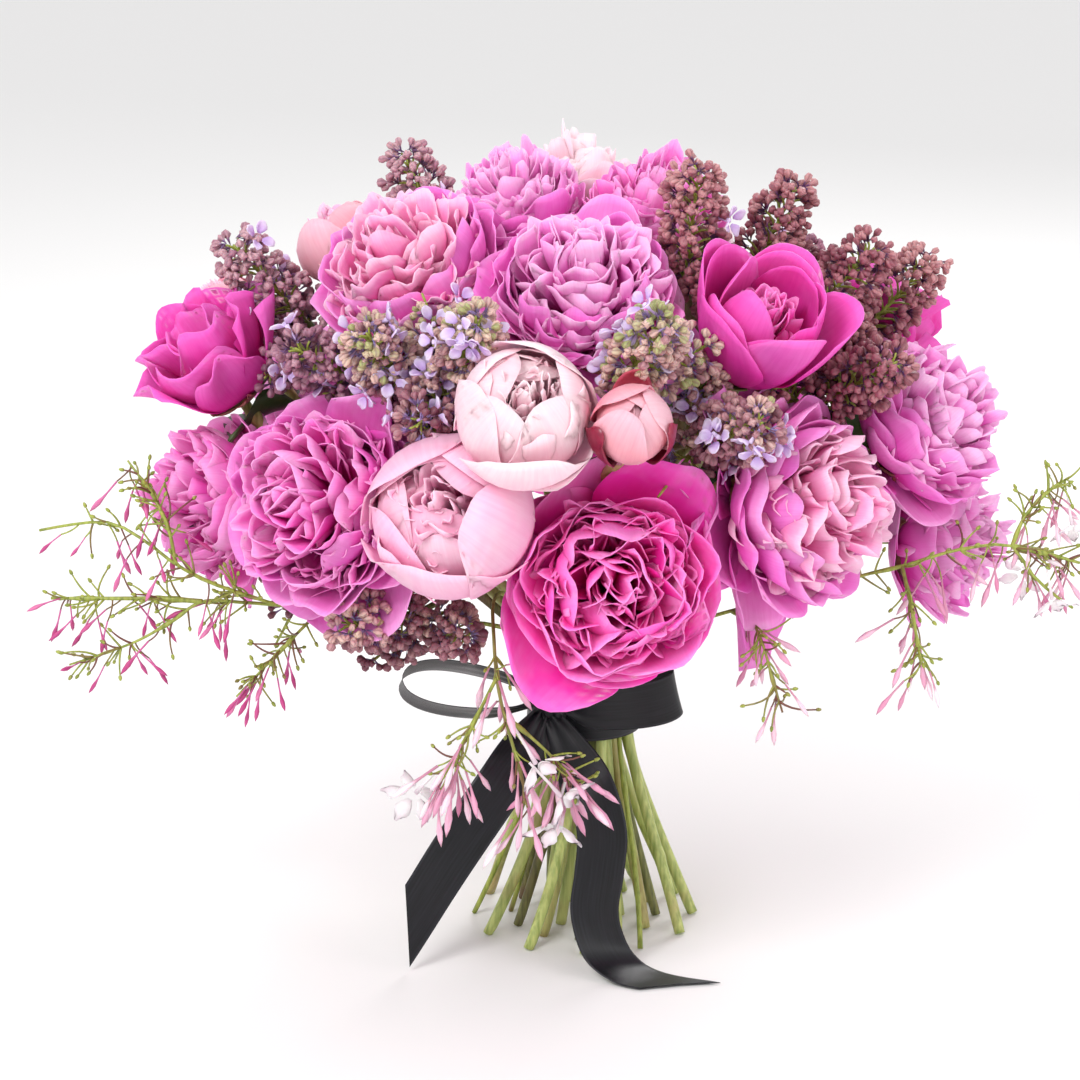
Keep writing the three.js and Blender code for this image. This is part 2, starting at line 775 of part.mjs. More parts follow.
// The bow's knot sits against the wrap. Its loops are in the way of the stems.
const knotTurn = THREE.MathUtils.degToRad(KNOT_TURN);
const knotRadius = Math.max(...wrapOuter.map(([r]) => r)) + SEAT_GAP + KNOT.deep / 2;
const knotMiddle = new THREE.Vector3(
  knotRadius * Math.cos(knotTurn),
  knotRadius * Math.sin(knotTurn),
  TIE_HEIGHT + KNOT_RISE,
);
for (const { along } of LOOPS) {
  const facing = vector(along).normalize();
  const radius = Math.max(RIBBON_WIDTH, LOOP_OPENING) / 2;
  eggs.push({
    piece: "ribbon_bow",
    centre: knotMiddle.clone().addScaledVector(facing, 0.55 * LOOP_REACH),
    facing,
    radius,
    stretch: (0.45 * LOOP_REACH) / radius,
  });
}

// ---------------------------------------------------------------- strands

for (const stem of stems) {
  const { points, firstFree } = stemPoints(stem);
  const fixedEnd = stem.diameter === PEONY_STEM ? 2 : 0; // points held under a head
  addStrand(stem.piece, points, stem.diameter, [firstFree, points.length - 1 - fixedEnd]);
}

// A side stem leaves its parent stem part of the way up and ends under its bud.
const SIDE_STEM_START = 0.35; // share of the way from the tie to the head
for (const head of Object.values(HEADS).filter((h) => h.on)) {
  const parent = strands.find((s) => s.piece === `stem_${head.on}`);
  const [first, last] = parent.free;
  const index = Math.round(first + SIDE_STEM_START * (last - first));
  const start = parent.points[index];
  const along = parent.points[index + 1].clone().sub(start).normalize();
  const points = bendTo(start, along, head.stemEnd, head.facing);
  const from = { points: parent.points, index };
  addStrand(parent.piece, points, SIDE_STEM, [1, points.length - 3], from);
}

for (const { piece, fork, centre, facing, radius, stretch } of panicles) {
  const base = centre.clone().addScaledVector(facing, -radius * stretch);
  const inside = base.clone().addScaledVector(facing, (2 * radius * stretch) / 3);
  addTwig(piece, [fork, base, inside], LILAC_TWIG);
}

for (const [name, { vine, twigs }] of Object.entries(JASMINES)) {
  addTwig(`jasmine_${name}`, vine.map(fromTie), JASMINE_VINE);
  for (const twig of twigs) addTwig(`jasmine_${name}`, twig.map(fromTie), JASMINE_TWIG);
}

settle();

for (const [name, head] of Object.entries(HEADS)) addHead(name, head);

function panicleBody({ centre, facing, radius, stretch }) {
  const length = 2 * radius * stretch;
  const outline = PANICLE_OUTLINE.map(([r, z]) => [r * radius, (z - 0.5) * length]);
  const body = turned(outline, PANICLE_SIDES, true);
  body.applyQuaternion(new THREE.Quaternion().setFromUnitVectors(UP, facing));
  return body.translate(...centre);
}

const MATERIAL_OF = { stem: "stem_green", lilac: "lilac", jasmine: "jasmine" };
for (const { piece } of stems) {
  const parts = strands.filter((s) => s.piece === piece).map((s) => tube(s.points, s.diameter));
  parts.push(...panicles.filter((p) => p.piece === piece).map(panicleBody));
  add(piece, cutAtFloor(joined(parts)), MATERIALS[MATERIAL_OF[piece.split("_")[0]]]);
}

// ---------------------------------------------------------------- the bow

// A loop leaves the knot, swells towards its far end and comes back.
function bowLoop(knot, { along, across }) {
  const ahead = vector(along).normalize();
  const side = vector(across).normalize();
  const open = ahead.clone().cross(side).normalize();
  const [first, last, count] = [0.06, 0.94, 22]; // the ends lie inside the knot
  const stations = Array.from({ length: count + 1 }, (_, i) => {
    const u = first + ((last - first) * i) / count;
    const out = (LOOP_REACH * (1 - Math.cos(2 * Math.PI * u))) / 2;
    const apart = (LOOP_OPENING / 2) * Math.sin(2 * Math.PI * u) * Math.sin(Math.PI * u) ** 0.8;
    const at = knot.clone().addScaledVector(ahead, out).addScaledVector(open, apart);
    return { at, across: side, share: Math.min(1, GATHER + out / GATHER_REACH) };
  });
  return ribbonAlong(stations);
}

const knotBlock = new THREE.BoxGeometry(KNOT.deep, KNOT.across, KNOT.tall, 1, 2, 2);
knotBlock.rotateZ(knotTurn).translate(...knotMiddle);
const bow = [knotBlock, ...LOOPS.map((loop) => bowLoop(knotMiddle, loop))];
add("ribbon_bow", joined(bow), MATERIALS.ribbon);

// Each tail is cut off on the slant: its outer edge stops short.
for (const [name, { level, points }] of Object.entries(TAILS)) {
  const stations = points.map(({ at, down, across }) => ({
    at: new THREE.Vector3(
      knotMiddle.x + at[0] * RIBBON_WIDTH,
      knotMiddle.y + at[1] * RIBBON_WIDTH,
      level + (TIE_HEIGHT - level) * (1 - down),
    ),
    across: vector(across),
  }));
  stations.at(-1).shift = [-TAIL_CUT / 2, TAIL_CUT / 2];
  add(`ribbon_tail_${name}`, ribbonAlong(stations), MATERIALS.ribbon);
}

export default bunch;
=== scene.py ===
"""The looks of a hand-tied bunch of peonies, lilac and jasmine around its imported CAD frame.

Every place comes from the frame. A peony's seat, axis and size are read from its CAD head, stems and
twigs follow the centre lines of their CAD nodes, and the ribbon follows its CAD bands.
Lengths are metres. +Z is up, -Y is the front.
"""

import bpy
import numpy as np
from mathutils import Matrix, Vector


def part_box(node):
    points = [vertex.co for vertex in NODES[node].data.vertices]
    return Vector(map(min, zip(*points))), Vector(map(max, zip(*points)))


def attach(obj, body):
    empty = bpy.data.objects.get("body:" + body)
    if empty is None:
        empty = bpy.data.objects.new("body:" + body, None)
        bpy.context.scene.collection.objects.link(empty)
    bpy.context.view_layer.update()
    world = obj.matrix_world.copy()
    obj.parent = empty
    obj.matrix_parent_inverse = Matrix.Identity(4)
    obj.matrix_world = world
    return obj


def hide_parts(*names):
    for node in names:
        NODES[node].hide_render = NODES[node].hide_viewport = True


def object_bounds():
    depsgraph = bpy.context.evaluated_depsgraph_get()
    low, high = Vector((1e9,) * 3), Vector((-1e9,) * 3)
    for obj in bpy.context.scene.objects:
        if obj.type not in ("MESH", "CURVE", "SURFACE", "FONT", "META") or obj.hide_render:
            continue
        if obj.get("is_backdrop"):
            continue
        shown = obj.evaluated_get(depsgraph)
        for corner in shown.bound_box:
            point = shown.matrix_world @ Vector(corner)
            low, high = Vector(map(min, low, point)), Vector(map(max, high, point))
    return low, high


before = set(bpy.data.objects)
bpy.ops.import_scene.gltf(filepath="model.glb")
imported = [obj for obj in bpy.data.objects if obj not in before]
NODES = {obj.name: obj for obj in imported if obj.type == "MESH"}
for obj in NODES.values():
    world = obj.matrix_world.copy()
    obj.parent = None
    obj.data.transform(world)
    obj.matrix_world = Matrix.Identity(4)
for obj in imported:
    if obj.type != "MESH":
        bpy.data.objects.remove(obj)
size_at_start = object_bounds()
MM = 0.001
TAU = 2 * np.pi
GOLDEN = np.pi * (3 - 5**0.5)


# ------------------------------------------------------------------ arrays


def unit(a):
    return a / np.maximum(np.linalg.norm(a, axis=-1, keepdims=True), 1e-12)


def basis(axis):
    """Rows x, y and z of a frame whose z is axis and whose x is level."""
    x = np.cross([0.0, 0.0, 1.0], axis)
    x = unit(x) if np.linalg.norm(x) > 1e-3 else np.array([1.0, 0.0, 0.0])
    return np.stack([x, np.cross(axis, x), axis])


def turn_to(rows, way):
    """How far round a frame's z axis a direction lies."""
    local = rows @ np.array(way, float)
    return np.arctan2(local[1], local[0])


def weld(node):
    """A CAD node's separate points and its triangles."""
    mesh = NODES[node].data
    co = np.zeros(len(mesh.vertices) * 3)
    mesh.vertices.foreach_get("co", co)
    mesh.calc_loop_triangles()
    tri = np.zeros(len(mesh.loop_triangles) * 3, int)
    mesh.loop_triangles.foreach_get("vertices", tri)
    points, index = np.unique(np.round(co.reshape(-1, 3), 6), axis=0, return_inverse=True)
    return points, index.ravel()[tri].reshape(-1, 3)


def sides_of(tri):
    return np.concatenate([tri[:, [0, 1]], tri[:, [1, 2]], tri[:, [2, 0]]])


def joined_up(points, reach):
    """Labels that join points which lie closer than reach to each other, and each label's middle and
    its number of points."""
    near = np.linalg.norm(points[:, None] - points[None], axis=2) < reach
    label = np.arange(len(points))
    while True:
        low = np.where(near, label[None], len(points)).min(1)
        if (low == label).all():
            break
        label = low
    label = np.unique(label, return_inverse=True)[1]
    count = np.bincount(label)
    middle = np.stack([np.bincount(label, points[:, k]) for k in range(3)], -1) / count[:, None]
    return label, middle, count


def through(points, k):
    """k points evenly spaced along the Catmull-Rom curve through points."""
    p = np.concatenate([[2 * points[0] - points[1]], points, [2 * points[-1] - points[-2]]])
    t = np.linspace(0, len(points) - 1, 16 * len(points))
    i = np.minimum(t.astype(int), len(points) - 2)
    f = (t - i)[:, None]
    a, b, c, d = p[i], p[i + 1], p[i + 2], p[i + 3]
    fine = 0.5 * (2 * b + (c - a) * f + (2 * a - 5 * b + 4 * c - d) * f**2 + (3 * b - a - 3 * c + d) * f**3)
    along = np.concatenate([[0], np.linalg.norm(np.diff(fine, axis=0), axis=1).cumsum()])
    at = np.linspace(0, along[-1], k)
    return np.stack([np.interp(at, along, fine[:, j]) for j in range(3)], -1)


def stalks_of(node):
    """Centre lines of a CAD node's stalks, the main one first. The middles of its rings of points are
    joined where its triangles join the rings, then walked from each tip down towards the foot until
    they meet a stalk already walked. With each comes its half thickness."""
    points, tri = weld(node)
    label, middle, count = joined_up(points, 5 * MM)
    off = np.linalg.norm(points - middle[label], axis=1)
    radius = np.bincount(label, off) / count
    pair = label[sides_of(tri)]
    pair = np.unique(pair[(pair[:, 0] != pair[:, 1]) & (count[pair] >= 4).all(1)], axis=0)
    step = np.linalg.norm(middle[pair[:, 0]] - middle[pair[:, 1]], axis=1)
    rings = np.flatnonzero(count >= 4)
    far, below = np.full(len(count), np.inf), np.full(len(count), -1)
    far[rings[np.argmin(middle[rings, 2])]] = 0
    for _ in rings:
        for (a, b), d in zip(pair, step):
            if far[a] + d < far[b] - 1e-9:
                far[b], below[b] = far[a] + d, a
    tips = [r for r in rings if r not in set(below[rings]) and np.isfinite(far[r])]
    walked, lines = set(), []
    for tip in sorted(tips, key=lambda r: -far[r]):
        line = [tip]
        while line[-1] not in walked and below[line[-1]] >= 0:
            line.append(below[line[-1]])
        walked.update(line)
        if len(line) > 2 or not lines:
            lines.append((middle[line[::-1]], np.median(radius[line])))
    return lines


def panicles_of(node):
    """Base, axis, half width and length of each lilac panicle of a CAD node: its points stand alone,
    away from the rings of the stalks, and are joined up by its triangles."""
    points, tri = weld(node)
    gaps = np.linalg.norm(points[:, None] - points[None], axis=2)
    alone = (gaps < 5 * MM).sum(1) == 1
    pair = sides_of(tri)
    pair = pair[alone[pair].all(1)]
    label = np.arange(len(points))
    for _ in range(40):
        np.minimum.at(label, pair[:, 0], label[pair[:, 1]])
        np.minimum.at(label, pair[:, 1], label[pair[:, 0]])
    found = []
    for name in np.unique(label[alone]):
        own = points[alone & (label == name)]
        if len(own) < 20:
            continue
        middle = own.mean(0)
        axis = np.linalg.svd(own - middle)[2][0]
        along = (own - middle) @ axis
        wide = np.linalg.norm(np.cross(own - middle, axis), axis=1)
        # It is widest nearer its base than its top.
        axis = axis * (1 if along[np.argmax(wide)] < (along.max() + along.min()) / 2 else -1)
        along = (own - middle) @ axis
        top = own[np.argmax(along)]
        length = (along.max() - along.min()) * 1.08
        found.append((top - axis * length, axis, wide.max(), length))
    return found


def grid_faces(rows, columns, wrap=False):
    """Faces of a grid of points, closed round its columns if wrap is set."""
    i = np.arange(rows * columns).reshape(rows, columns)
    j = np.roll(i, -1, axis=1) if wrap else i[:, 1:]
    i = i if wrap else i[:, :-1]
    return np.stack([i[:-1], j[:-1], j[1:], i[1:]], -1).reshape(-1, 4)


def repeated(faces, count, step):
    """The same faces for count surfaces whose points follow each other step apart."""
    shift = np.arange(count)[:, None, None] * step
    return [(f[None] + shift).reshape(-1, f.shape[1]) for f in faces]


def thin(grid, thickness, tone, depth, uv=None):
    """Closed sheets from grids of points [n, v, u, 3]: each is the grid moved half the thickness
    along its normal to either side, with the two layers joined round the rim."""
    n, rows, cols, _ = grid.shape
    normal = unit(np.cross(np.gradient(grid, axis=2), np.gradient(grid, axis=1)))
    half = normal * thickness / 2
    points = np.stack([grid + half, grid - half], 1).reshape(-1, 3)
    m = rows * cols
    i = np.arange(m).reshape(rows, cols)
    rim = np.concatenate([i[0], i[1:, -1], i[-1, -2::-1], i[-2:0:-1, 0]])
    front = grid_faces(rows, cols)
    sides = np.stack([rim, rim + m, np.roll(rim, -1) + m, np.roll(rim, -1)], -1)
    faces = repeated([np.concatenate([front, front[:, ::-1] + m, sides])], n, 2 * m)
    v, u = np.meshgrid(np.linspace(0, 1, rows), np.linspace(0, 1, cols), indexing="ij")
    uv = np.stack([u, v], -1) if uv is None else uv
    uv = np.tile(uv.reshape(1, m, 2), (2 * n, 1, 1)).reshape(-1, 2)
    spread = np.broadcast_to(np.reshape(tone, (n, 1, 1)), (n, 2, m)).ravel()
    deep = np.broadcast_to(np.reshape(depth, (n, 1, rows, cols)), (n, 2, rows, cols)).ravel()
    return points, faces, uv, spread, deep


def tubes(paths, radii, sides=8, tone=0.5):
    """Round stalks [n, k, 3]: a circle of each path's radius carried along it, its frame turned as
    little as possible from point to point, with a flat face at either end."""
    paths = np.asarray(paths, float)
    n, k, _ = paths.shape
    radii = np.broadcast_to(radii, (n, k))
    along = unit(np.gradient(paths, axis=1))
    side = np.where(np.abs(along[:, :1, 2:]) < 0.9, [[[0, 0, 1.0]]], [[[1.0, 0, 0]]])[:, 0]
    normals = []
    for s in range(k):
        side = unit(side - along[:, s] * (side * along[:, s]).sum(-1, keepdims=True))
        normals.append(side)
    a = np.stack(normals, 1)
    b = np.cross(along, a)
    turn = np.linspace(0, TAU, sides, endpoint=False)
    ring = a[:, :, None] * np.cos(turn)[:, None] + b[:, :, None] * np.sin(turn)[:, None]
    points = paths[:, :, None] + ring * radii[:, :, None, None]
    m = k * sides
    first, last = np.arange(sides)[None, ::-1], np.arange(m - sides, m)[None]
    faces = repeated([grid_faces(k, sides, wrap=True), first, last], n, m)
    length = np.concatenate([np.zeros((n, 1)), np.linalg.norm(np.diff(paths, axis=1), axis=2).cumsum(1)], 1)
    round_it = np.broadcast_to(turn / TAU, (n, k, sides))
    uv = np.stack([round_it, np.broadcast_to(length[:, :, None], (n, k, sides))], -1).reshape(-1, 2)
    tones = np.broadcast_to(np.reshape(tone, (-1, 1)), (n, m)).ravel()
    return points.reshape(-1, 3), faces, uv, tones, np.zeros(n * m)


def turned(outline, sides, lobes=0, lobe=0.0):
    """A small closed body: an outline of [radius, height] turned round +Z, pinched into lobes, with
    one point at either pole."""
    outline = np.asarray(outline, float)
    inner = outline[1:-1]
    turn = np.linspace(0, TAU, sides, endpoint=False)
    r = inner[:, :1] * (1 - lobe * (0.5 - 0.5 * np.cos(lobes * turn)))
    z = np.broadcast_to(inner[:, 1:], r.shape)
    ring = np.stack([r * np.cos(turn), r * np.sin(turn), z], -1).reshape(-1, 3)
    points = np.concatenate([ring, [[0, 0, outline[0, 1]], [0, 0, outline[-1, 1]]]])
    k = len(ring)
    i = np.arange(sides)
    j = np.roll(i, -1)
    low = np.stack([j, i, np.full(sides, k)], -1)
    high = np.stack([i, j, np.full(sides, k + 1)], -1) + [k - sides, k - sides, 0]
    faces = [grid_faces(len(inner), sides, wrap=True), low, high]
    height = (points[:, 2] - outline[0, 1]) / (outline[-1, 1] - outline[0, 1])
    return points, faces, np.stack([np.arctan2(points[:, 1], points[:, 0]) / TAU, height], -1)


def scattered(shape, places, axes, sizes, spins, tone):
    """Copies of one small shape: each is scaled, spun about its own axis, turned so that its +Z lies
    along its axis and moved to its place, all as whole arrays."""
    points, faces, uv = shape
    n, m = len(places), len(points)
    axes = unit(np.asarray(axes, float))
    up = np.where(np.abs(axes[:, 2:]) < 0.95, [[0, 0, 1.0]], [[1.0, 0, 0]])
    x0 = unit(np.cross(up, axes))
    y0 = np.cross(axes, x0)
    c, s = np.cos(spins)[:, None], np.sin(spins)[:, None]
    rows = np.stack([x0 * c + y0 * s, y0 * c - x0 * s, axes], 1)
    rows = rows * np.reshape(sizes, (-1, 1, 1))
    points = np.einsum("mi,nij->nmj", points, rows) + np.asarray(places)[:, None]
    uv = np.tile(uv, (n, 1))
    return points.reshape(-1, 3), repeated(faces, n, m), uv, np.repeat(tone, m), uv[:, 1]


def plain(points, faces, uv):
    """A surface with the same tone and depth all over, from grids of points and uv."""
    flat = np.zeros(points[..., 0].size)
    return points.reshape(-1, 3), faces, uv.reshape(-1, 2), flat, flat


def linked(name, data):
    """A new object in the scene."""
    obj = bpy.data.objects.new(name, data)
    bpy.context.scene.collection.objects.link(obj)
    return obj


def piece(name, surfaces, material, stands_for=()):
    """Joins surfaces of (points, faces, uv, tone, depth) into one shown mesh on the body."""
    starts = np.cumsum([0] + [len(s[0]) for s in surfaces])
    loops = [(f + at).ravel() for s, at in zip(surfaces, starts) for f in s[1]]
    corners = np.concatenate([np.full(len(f), f.shape[1]) for s in surfaces for f in s[1]])
    loops = np.concatenate(loops).astype(np.int32)
    mesh = bpy.data.meshes.new(name)
    mesh.vertices.add(starts[-1])
    mesh.vertices.foreach_set("co", np.concatenate([s[0] for s in surfaces]).astype(np.float32).ravel())
    mesh.loops.add(len(loops))
    mesh.loops.foreach_set("vertex_index", loops)
    mesh.polygons.add(len(corners))
    mesh.polygons.foreach_set("loop_start", (np.cumsum(corners) - corners).astype(np.int32))
    uv = np.concatenate([s[2] for s in surfaces]).astype(np.float32)
    mesh.uv_layers.new(name="UVMap").data.foreach_set("uv", uv[loops].ravel())
    for label, k in (("tone", 3), ("depth", 4)):
        values = np.concatenate([s[k] for s in surfaces]).astype(np.float32)
        mesh.attributes.new(label, "FLOAT", "POINT").data.foreach_set("value", values)
    mesh.update(calc_edges=True)
    mesh.shade_smooth()
    mesh.materials.append(material)
    obj = linked(name, mesh)
    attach(obj, "root")
    if stands_for:
        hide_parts(*stands_for)
    return obj


# ------------------------------------------------------------------ materials


def to_linear(hexa):
    """An sRGB hex colour as linear red, green, blue and alpha."""
    c = np.array([int(hexa[i : i + 2], 16) / 255 for i in (1, 3, 5)])
    c = np.where(c <= 0.04045, c / 12.92, ((c + 0.055) / 1.055) ** 2.4)
    return (*c, 1.0)


def put(tree, socket, value):
    """Puts a constant, an sRGB hex colour or another node's socket into a socket."""
    if isinstance(value, bpy.types.NodeSocket):
        tree.links.new(value, socket)
    else:
        socket.default_value = to_linear(value) if isinstance(value, str) else value


def add(tree, kind, settings=None, **inputs):
    """A shader node with settings and inputs, each named or, as _0 and on, numbered."""
    node = tree.nodes.new(kind)
    for key, value in (settings or {}).items():
        setattr(node, key, value)
    for key, value in inputs.items():
        put(tree, node.inputs[int(key[1:]) if key[1:].isdigit() else key.replace("_", " ")], value)
    return node


def math(tree, operation, a, b=0.0):
    return add(tree, "ShaderNodeMath", {"operation": operation}, _0=a, _1=b).outputs[0]


def times(tree, a, b):
    return math(tree, "MULTIPLY", a, b)


def plus(tree, a, b):
    return math(tree, "ADD", a, b)


def swing(tree, value, size, middle=0.5):
    """size times the value less its middle: a change to either side."""
    return times(tree, math(tree, "SUBTRACT", value, middle), size)


def ramp(tree, fac, stops):
    """A colour ramp of (place, sRGB hex)."""
    node = add(tree, "ShaderNodeValToRGB", _0=fac)
    elements = node.color_ramp.elements
    while len(elements) < len(stops):
        elements.new(0.5)
    for element, (place, hexa) in zip(elements, stops):
        element.position = place
        element.color = to_linear(hexa)
    return node.outputs[0]


def mixed(tree, fac, a, b):
    return add(tree, "ShaderNodeMix", {"data_type": "RGBA"}, _0=fac, _6=a, _7=b).outputs[2]


def attribute(tree, name):
    return add(tree, "ShaderNodeAttribute", {"attribute_name": name}).outputs["Fac"]


def object_place(tree):
    return add(tree, "ShaderNodeTexCoord").outputs["Object"]


def own_uv(tree):
    return add(tree, "ShaderNodeUVMap", {"uv_map": "UVMap"}).outputs[0]


def parted(tree, vector):
    return add(tree, "ShaderNodeSeparateXYZ", _0=vector).outputs


def stretched(tree, vector, scale):
    return add(tree, "ShaderNodeMapping", Vector=vector, Scale=scale).outputs[0]


def noise(tree, vector, scale, detail=2.0, roughness=0.5):
    settings = dict(Vector=vector, Scale=scale, Detail=detail, Roughness=roughness)
    return add(tree, "ShaderNodeTexNoise", **settings).outputs[0]


def new_material(name):
    material = bpy.data.materials.new(name)
    material.use_nodes = True
    return material, material.node_tree


def finished(material, colour, rough, bump=None, **more):
    """The material with its colour, its roughness, a bump of (height, strength, depth in metres) and
    more of the surface's inputs in place."""
    tree = material.node_tree
    surface = tree.nodes["Principled BSDF"]
    if bump:
        height, strength, depth = bump
        bumped = add(tree, "ShaderNodeBump", Height=height, Strength=strength, Distance=depth)
        more["Normal"] = bumped.outputs[0]
    for key, value in {"Base Color": colour, "Roughness": rough, **more}.items():
        put(tree, surface.inputs[key.replace("_", " ")], value)
    return material


def petal_material(name, tip, middle, base):
    """Fresh petal: thin living tissue, so light glows through it and the folds stay saturated.
    The colour runs from base to tip, its darker base partly the petal's own colour and partly painted
    shade deep in the bloom; fine veins run up the petal, and each petal differs a little."""
    material, tree = new_material(name)
    u, v, _ = parted(tree, own_uv(tree))
    tone, depth = attribute(tree, "tone"), attribute(tree, "depth")
    # Veins: 30 or so from side to side of a petal about 40 mm wide, drawn coarser than real ones.
    lines = add(tree, "ShaderNodeCombineXYZ", _0=times(tree, u, 30.0), _1=times(tree, v, 2.2),
                _2=times(tree, tone, 40.0))
    veins = noise(tree, lines.outputs[0], 1.0, roughness=0.6)
    cloud = noise(tree, object_place(tree), 55.0)
    # The level falls with depth, so each petal's base, deep in the bloom, takes the darker base colour:
    # partly the petal's own colour, partly painted shade.
    level = plus(tree, math(tree, "SUBTRACT", 1.0, depth), swing(tree, cloud, 0.5))
    level = plus(tree, level, swing(tree, tone, 0.35))
    colour = ramp(tree, level, ((0.12, base), (0.55, middle), (1.0, tip)))
    colour = mixed(tree, swing(tree, veins, 0.5, 0.35), colour, base)
    return finished(material, colour, 0.52, (veins, 0.35, 0.4 * MM), Specular_IOR_Level=0.2,
                    Subsurface_Weight=0.5, Subsurface_Radius=(1.0, 0.8, 0.92), Subsurface_Scale=3 * MM)


def stalk_material(name, light, dark, blush, rough=0.42):
    """Green herbaceous stalk: a waxy skin with fine ribs along it, browner or redder in patches."""
    material, tree = new_material(name)
    place = object_place(tree)
    ribs = noise(tree, stretched(tree, place, (420.0, 420.0, 14.0)), 1.0)
    patch = noise(tree, place, 26.0, 3.0)
    red = swing(tree, plus(tree, patch, attribute(tree, "tone")), 2.4, 0.95)
    red = add(tree, "ShaderNodeClamp", _0=red).outputs[0]
    colour = mixed(tree, red, ramp(tree, ribs, ((0.3, dark), (0.62, light))), blush)
    return finished(material, colour, rough, (ribs, 0.4, 0.3 * MM), Subsurface_Weight=0.1,
                    Subsurface_Scale=2 * MM)


def bud_material(name, stops, rough=0.5):
    """Small leaves and sepals: a waxy skin whose colour runs along it and differs from one to another."""
    material, tree = new_material(name)
    grain = noise(tree, object_place(tree), 260.0)
    level = plus(tree, times(tree, attribute(tree, "tone"), 0.6), times(tree, attribute(tree, "depth"), 0.4))
    colour = ramp(tree, plus(tree, level, swing(tree, grain, 0.4)), stops)
    return finished(material, colour, rough, (grain, 0.2, 0.3 * MM), Subsurface_Weight=0.2,
                    Subsurface_Scale=1.5 * MM)


def tube_bud_material(name, tube, stops, change=0.5, crease_shade=0.55, rough=0.5):
    """A flower bud on its tube: waxy skin, the tube one colour and the swollen bud another, from bud
    to bud through the stops, with painted shade darkening it along the four creases where its petals will
    part."""
    material, tree = new_material(name)
    turn, _, _ = parted(tree, own_uv(tree))
    # Painted shade: darker along the four creases round the bud, which lie in the lilac bud's pinched lobes.
    crease = math(tree, "COSINE", times(tree, turn, 4 * TAU))
    crease = math(tree, "POWER", times(tree, math(tree, "SUBTRACT", 1.0, crease), 0.5), 3.0)
    bud = ramp(tree, attribute(tree, "tone"), stops)
    bud = mixed(tree, times(tree, crease, crease_shade), bud, stops[0][1])
    head = add(tree, "ShaderNodeMapRange", {"interpolation_type": "SMOOTHSTEP"}, _0=attribute(tree, "depth"),
               _1=change - 0.1, _2=change + 0.1)
    colour = mixed(tree, head.outputs[0], tube, bud)
    return finished(material, colour, rough, Subsurface_Weight=0.15, Subsurface_Scale=1.5 * MM)


def satin_material():
    """Polyester satin ribbon, woven: long smooth floats along the ribbon give a soft streak of light
    across it, and streaks of sheen are also painted into its colour, lighter grey along the ribbon.
    The threads are drawn 0.5 mm apart, coarser than real ones, to show."""
    material, tree = new_material("ribbon_black_polyester_satin_woven")
    uv = own_uv(tree)
    across = parted(tree, uv)[0]
    threads = math(tree, "SINE", times(tree, across, TAU / 0.5))
    painted_sheen_streaks = noise(tree, stretched(tree, uv, (0.9, 0.03, 1.0)), 1.0, 3.0)
    # The woven edge starts this many millimetres from the ribbon's middle.
    woven_edge = 13.6
    edge = math(tree, "GREATER_THAN", math(tree, "ABSOLUTE", across), woven_edge)
    # Painted sheen: noise streaks along the ribbon lift its black towards grey.
    colour = ramp(tree, painted_sheen_streaks, ((0.3, "#0b0b0e"), (0.7, "#1a1a20")))
    colour = mixed(tree, times(tree, edge, 0.6), colour, "#2a2a30")
    height = plus(tree, times(tree, threads, 0.3), times(tree, edge, 1.5))
    return finished(material, colour, 0.36, (height, 0.25, 0.12 * MM), Anisotropic=0.6,
                    Specular_IOR_Level=0.32)


def twine_material():
    """Jute twine, two plies twisted: rough pale fibres, with painted shade darkening the groove between the
    plies.
    """
    material, tree = new_material("twine_jute_twisted")
    turn, along, _ = parted(tree, own_uv(tree))
    lay = plus(tree, times(tree, turn, 2 * TAU), times(tree, along, TAU / (4 * MM)))
    ply_shade_and_height = math(tree, "ABSOLUTE", math(tree, "SINE", times(tree, lay, 0.5)))
    fibre = noise(tree, object_place(tree), 1800.0)
    # Painted shade: the colour darkens into the groove between the plies.
    colour = ramp(tree, times(tree, ply_shade_and_height, fibre), ((0.1, "#6b5433"), (0.5, "#c7ac7b")))
    return finished(material, colour, 0.9, (ply_shade_and_height, 0.8, 0.5 * MM))


# Each petal colour runs tip, middle, base. The darker base colours are partly painted shade deep in the
# bloom.
PETALS = {
    "pink": petal_material("petal_mid_pink_fresh", "#fba4dc", "#f35fc2", "#e822a4"),
    "soft": petal_material("petal_warm_pink_fresh", "#ffc6e0", "#fc8cc4", "#f4489b"),
    "mauve": petal_material("petal_cool_pink_fresh", "#fdbbe8", "#f67cd1", "#ea38b0"),
    "guard": petal_material("petal_lilac_pink_guard_fresh", "#f8a2de", "#ee68c9", "#d8309f"),
    "hot": petal_material("petal_hot_pink_fresh", "#fe8fd4", "#fc35b2", "#f5149a"),
    "magenta": petal_material("petal_magenta_fresh", "#f16cc4", "#e83ba9", "#c81a88"),
    "blush": petal_material("petal_blush_white_fresh", "#ffe0e7", "#fcc9d7", "#f08fb2"),
    "globe": petal_material("petal_pale_pink_fresh", "#ffcadf", "#fcabcf", "#ee6ea6"),
    "peach": petal_material("petal_peach_bud_waxy", "#f9bccb", "#f4a0ac", "#e0708e"),
}
GREEN = stalk_material("stalk_green_waxy", "#bfc878", "#8d9d50", "#a8855c")
WOODY = stalk_material("stalk_lilac_woody", "#86884f", "#565a35", "#6b4b3a", rough=0.6)
SPRIG = stalk_material("stalk_jasmine_green", "#a3ad4c", "#79862f", "#75483c")
LEAF = bud_material("leaf_green_waxy", ((0.1, "#1f3a1c"), (0.6, "#3f6330"), (1.0, "#6b8a40")), rough=0.36)
SEPAL = bud_material("sepal_green_red_waxy", ((0.0, "#6f8a45"), (0.5, "#7f7a48"), (1.0, "#8f2f49")), 0.4)
BUD_SEPAL = bud_material("sepal_burgundy_waxy", ((0.1, "#5c0f2a"), (0.5, "#94203f"), (1.0, "#c4566a")), 0.35)
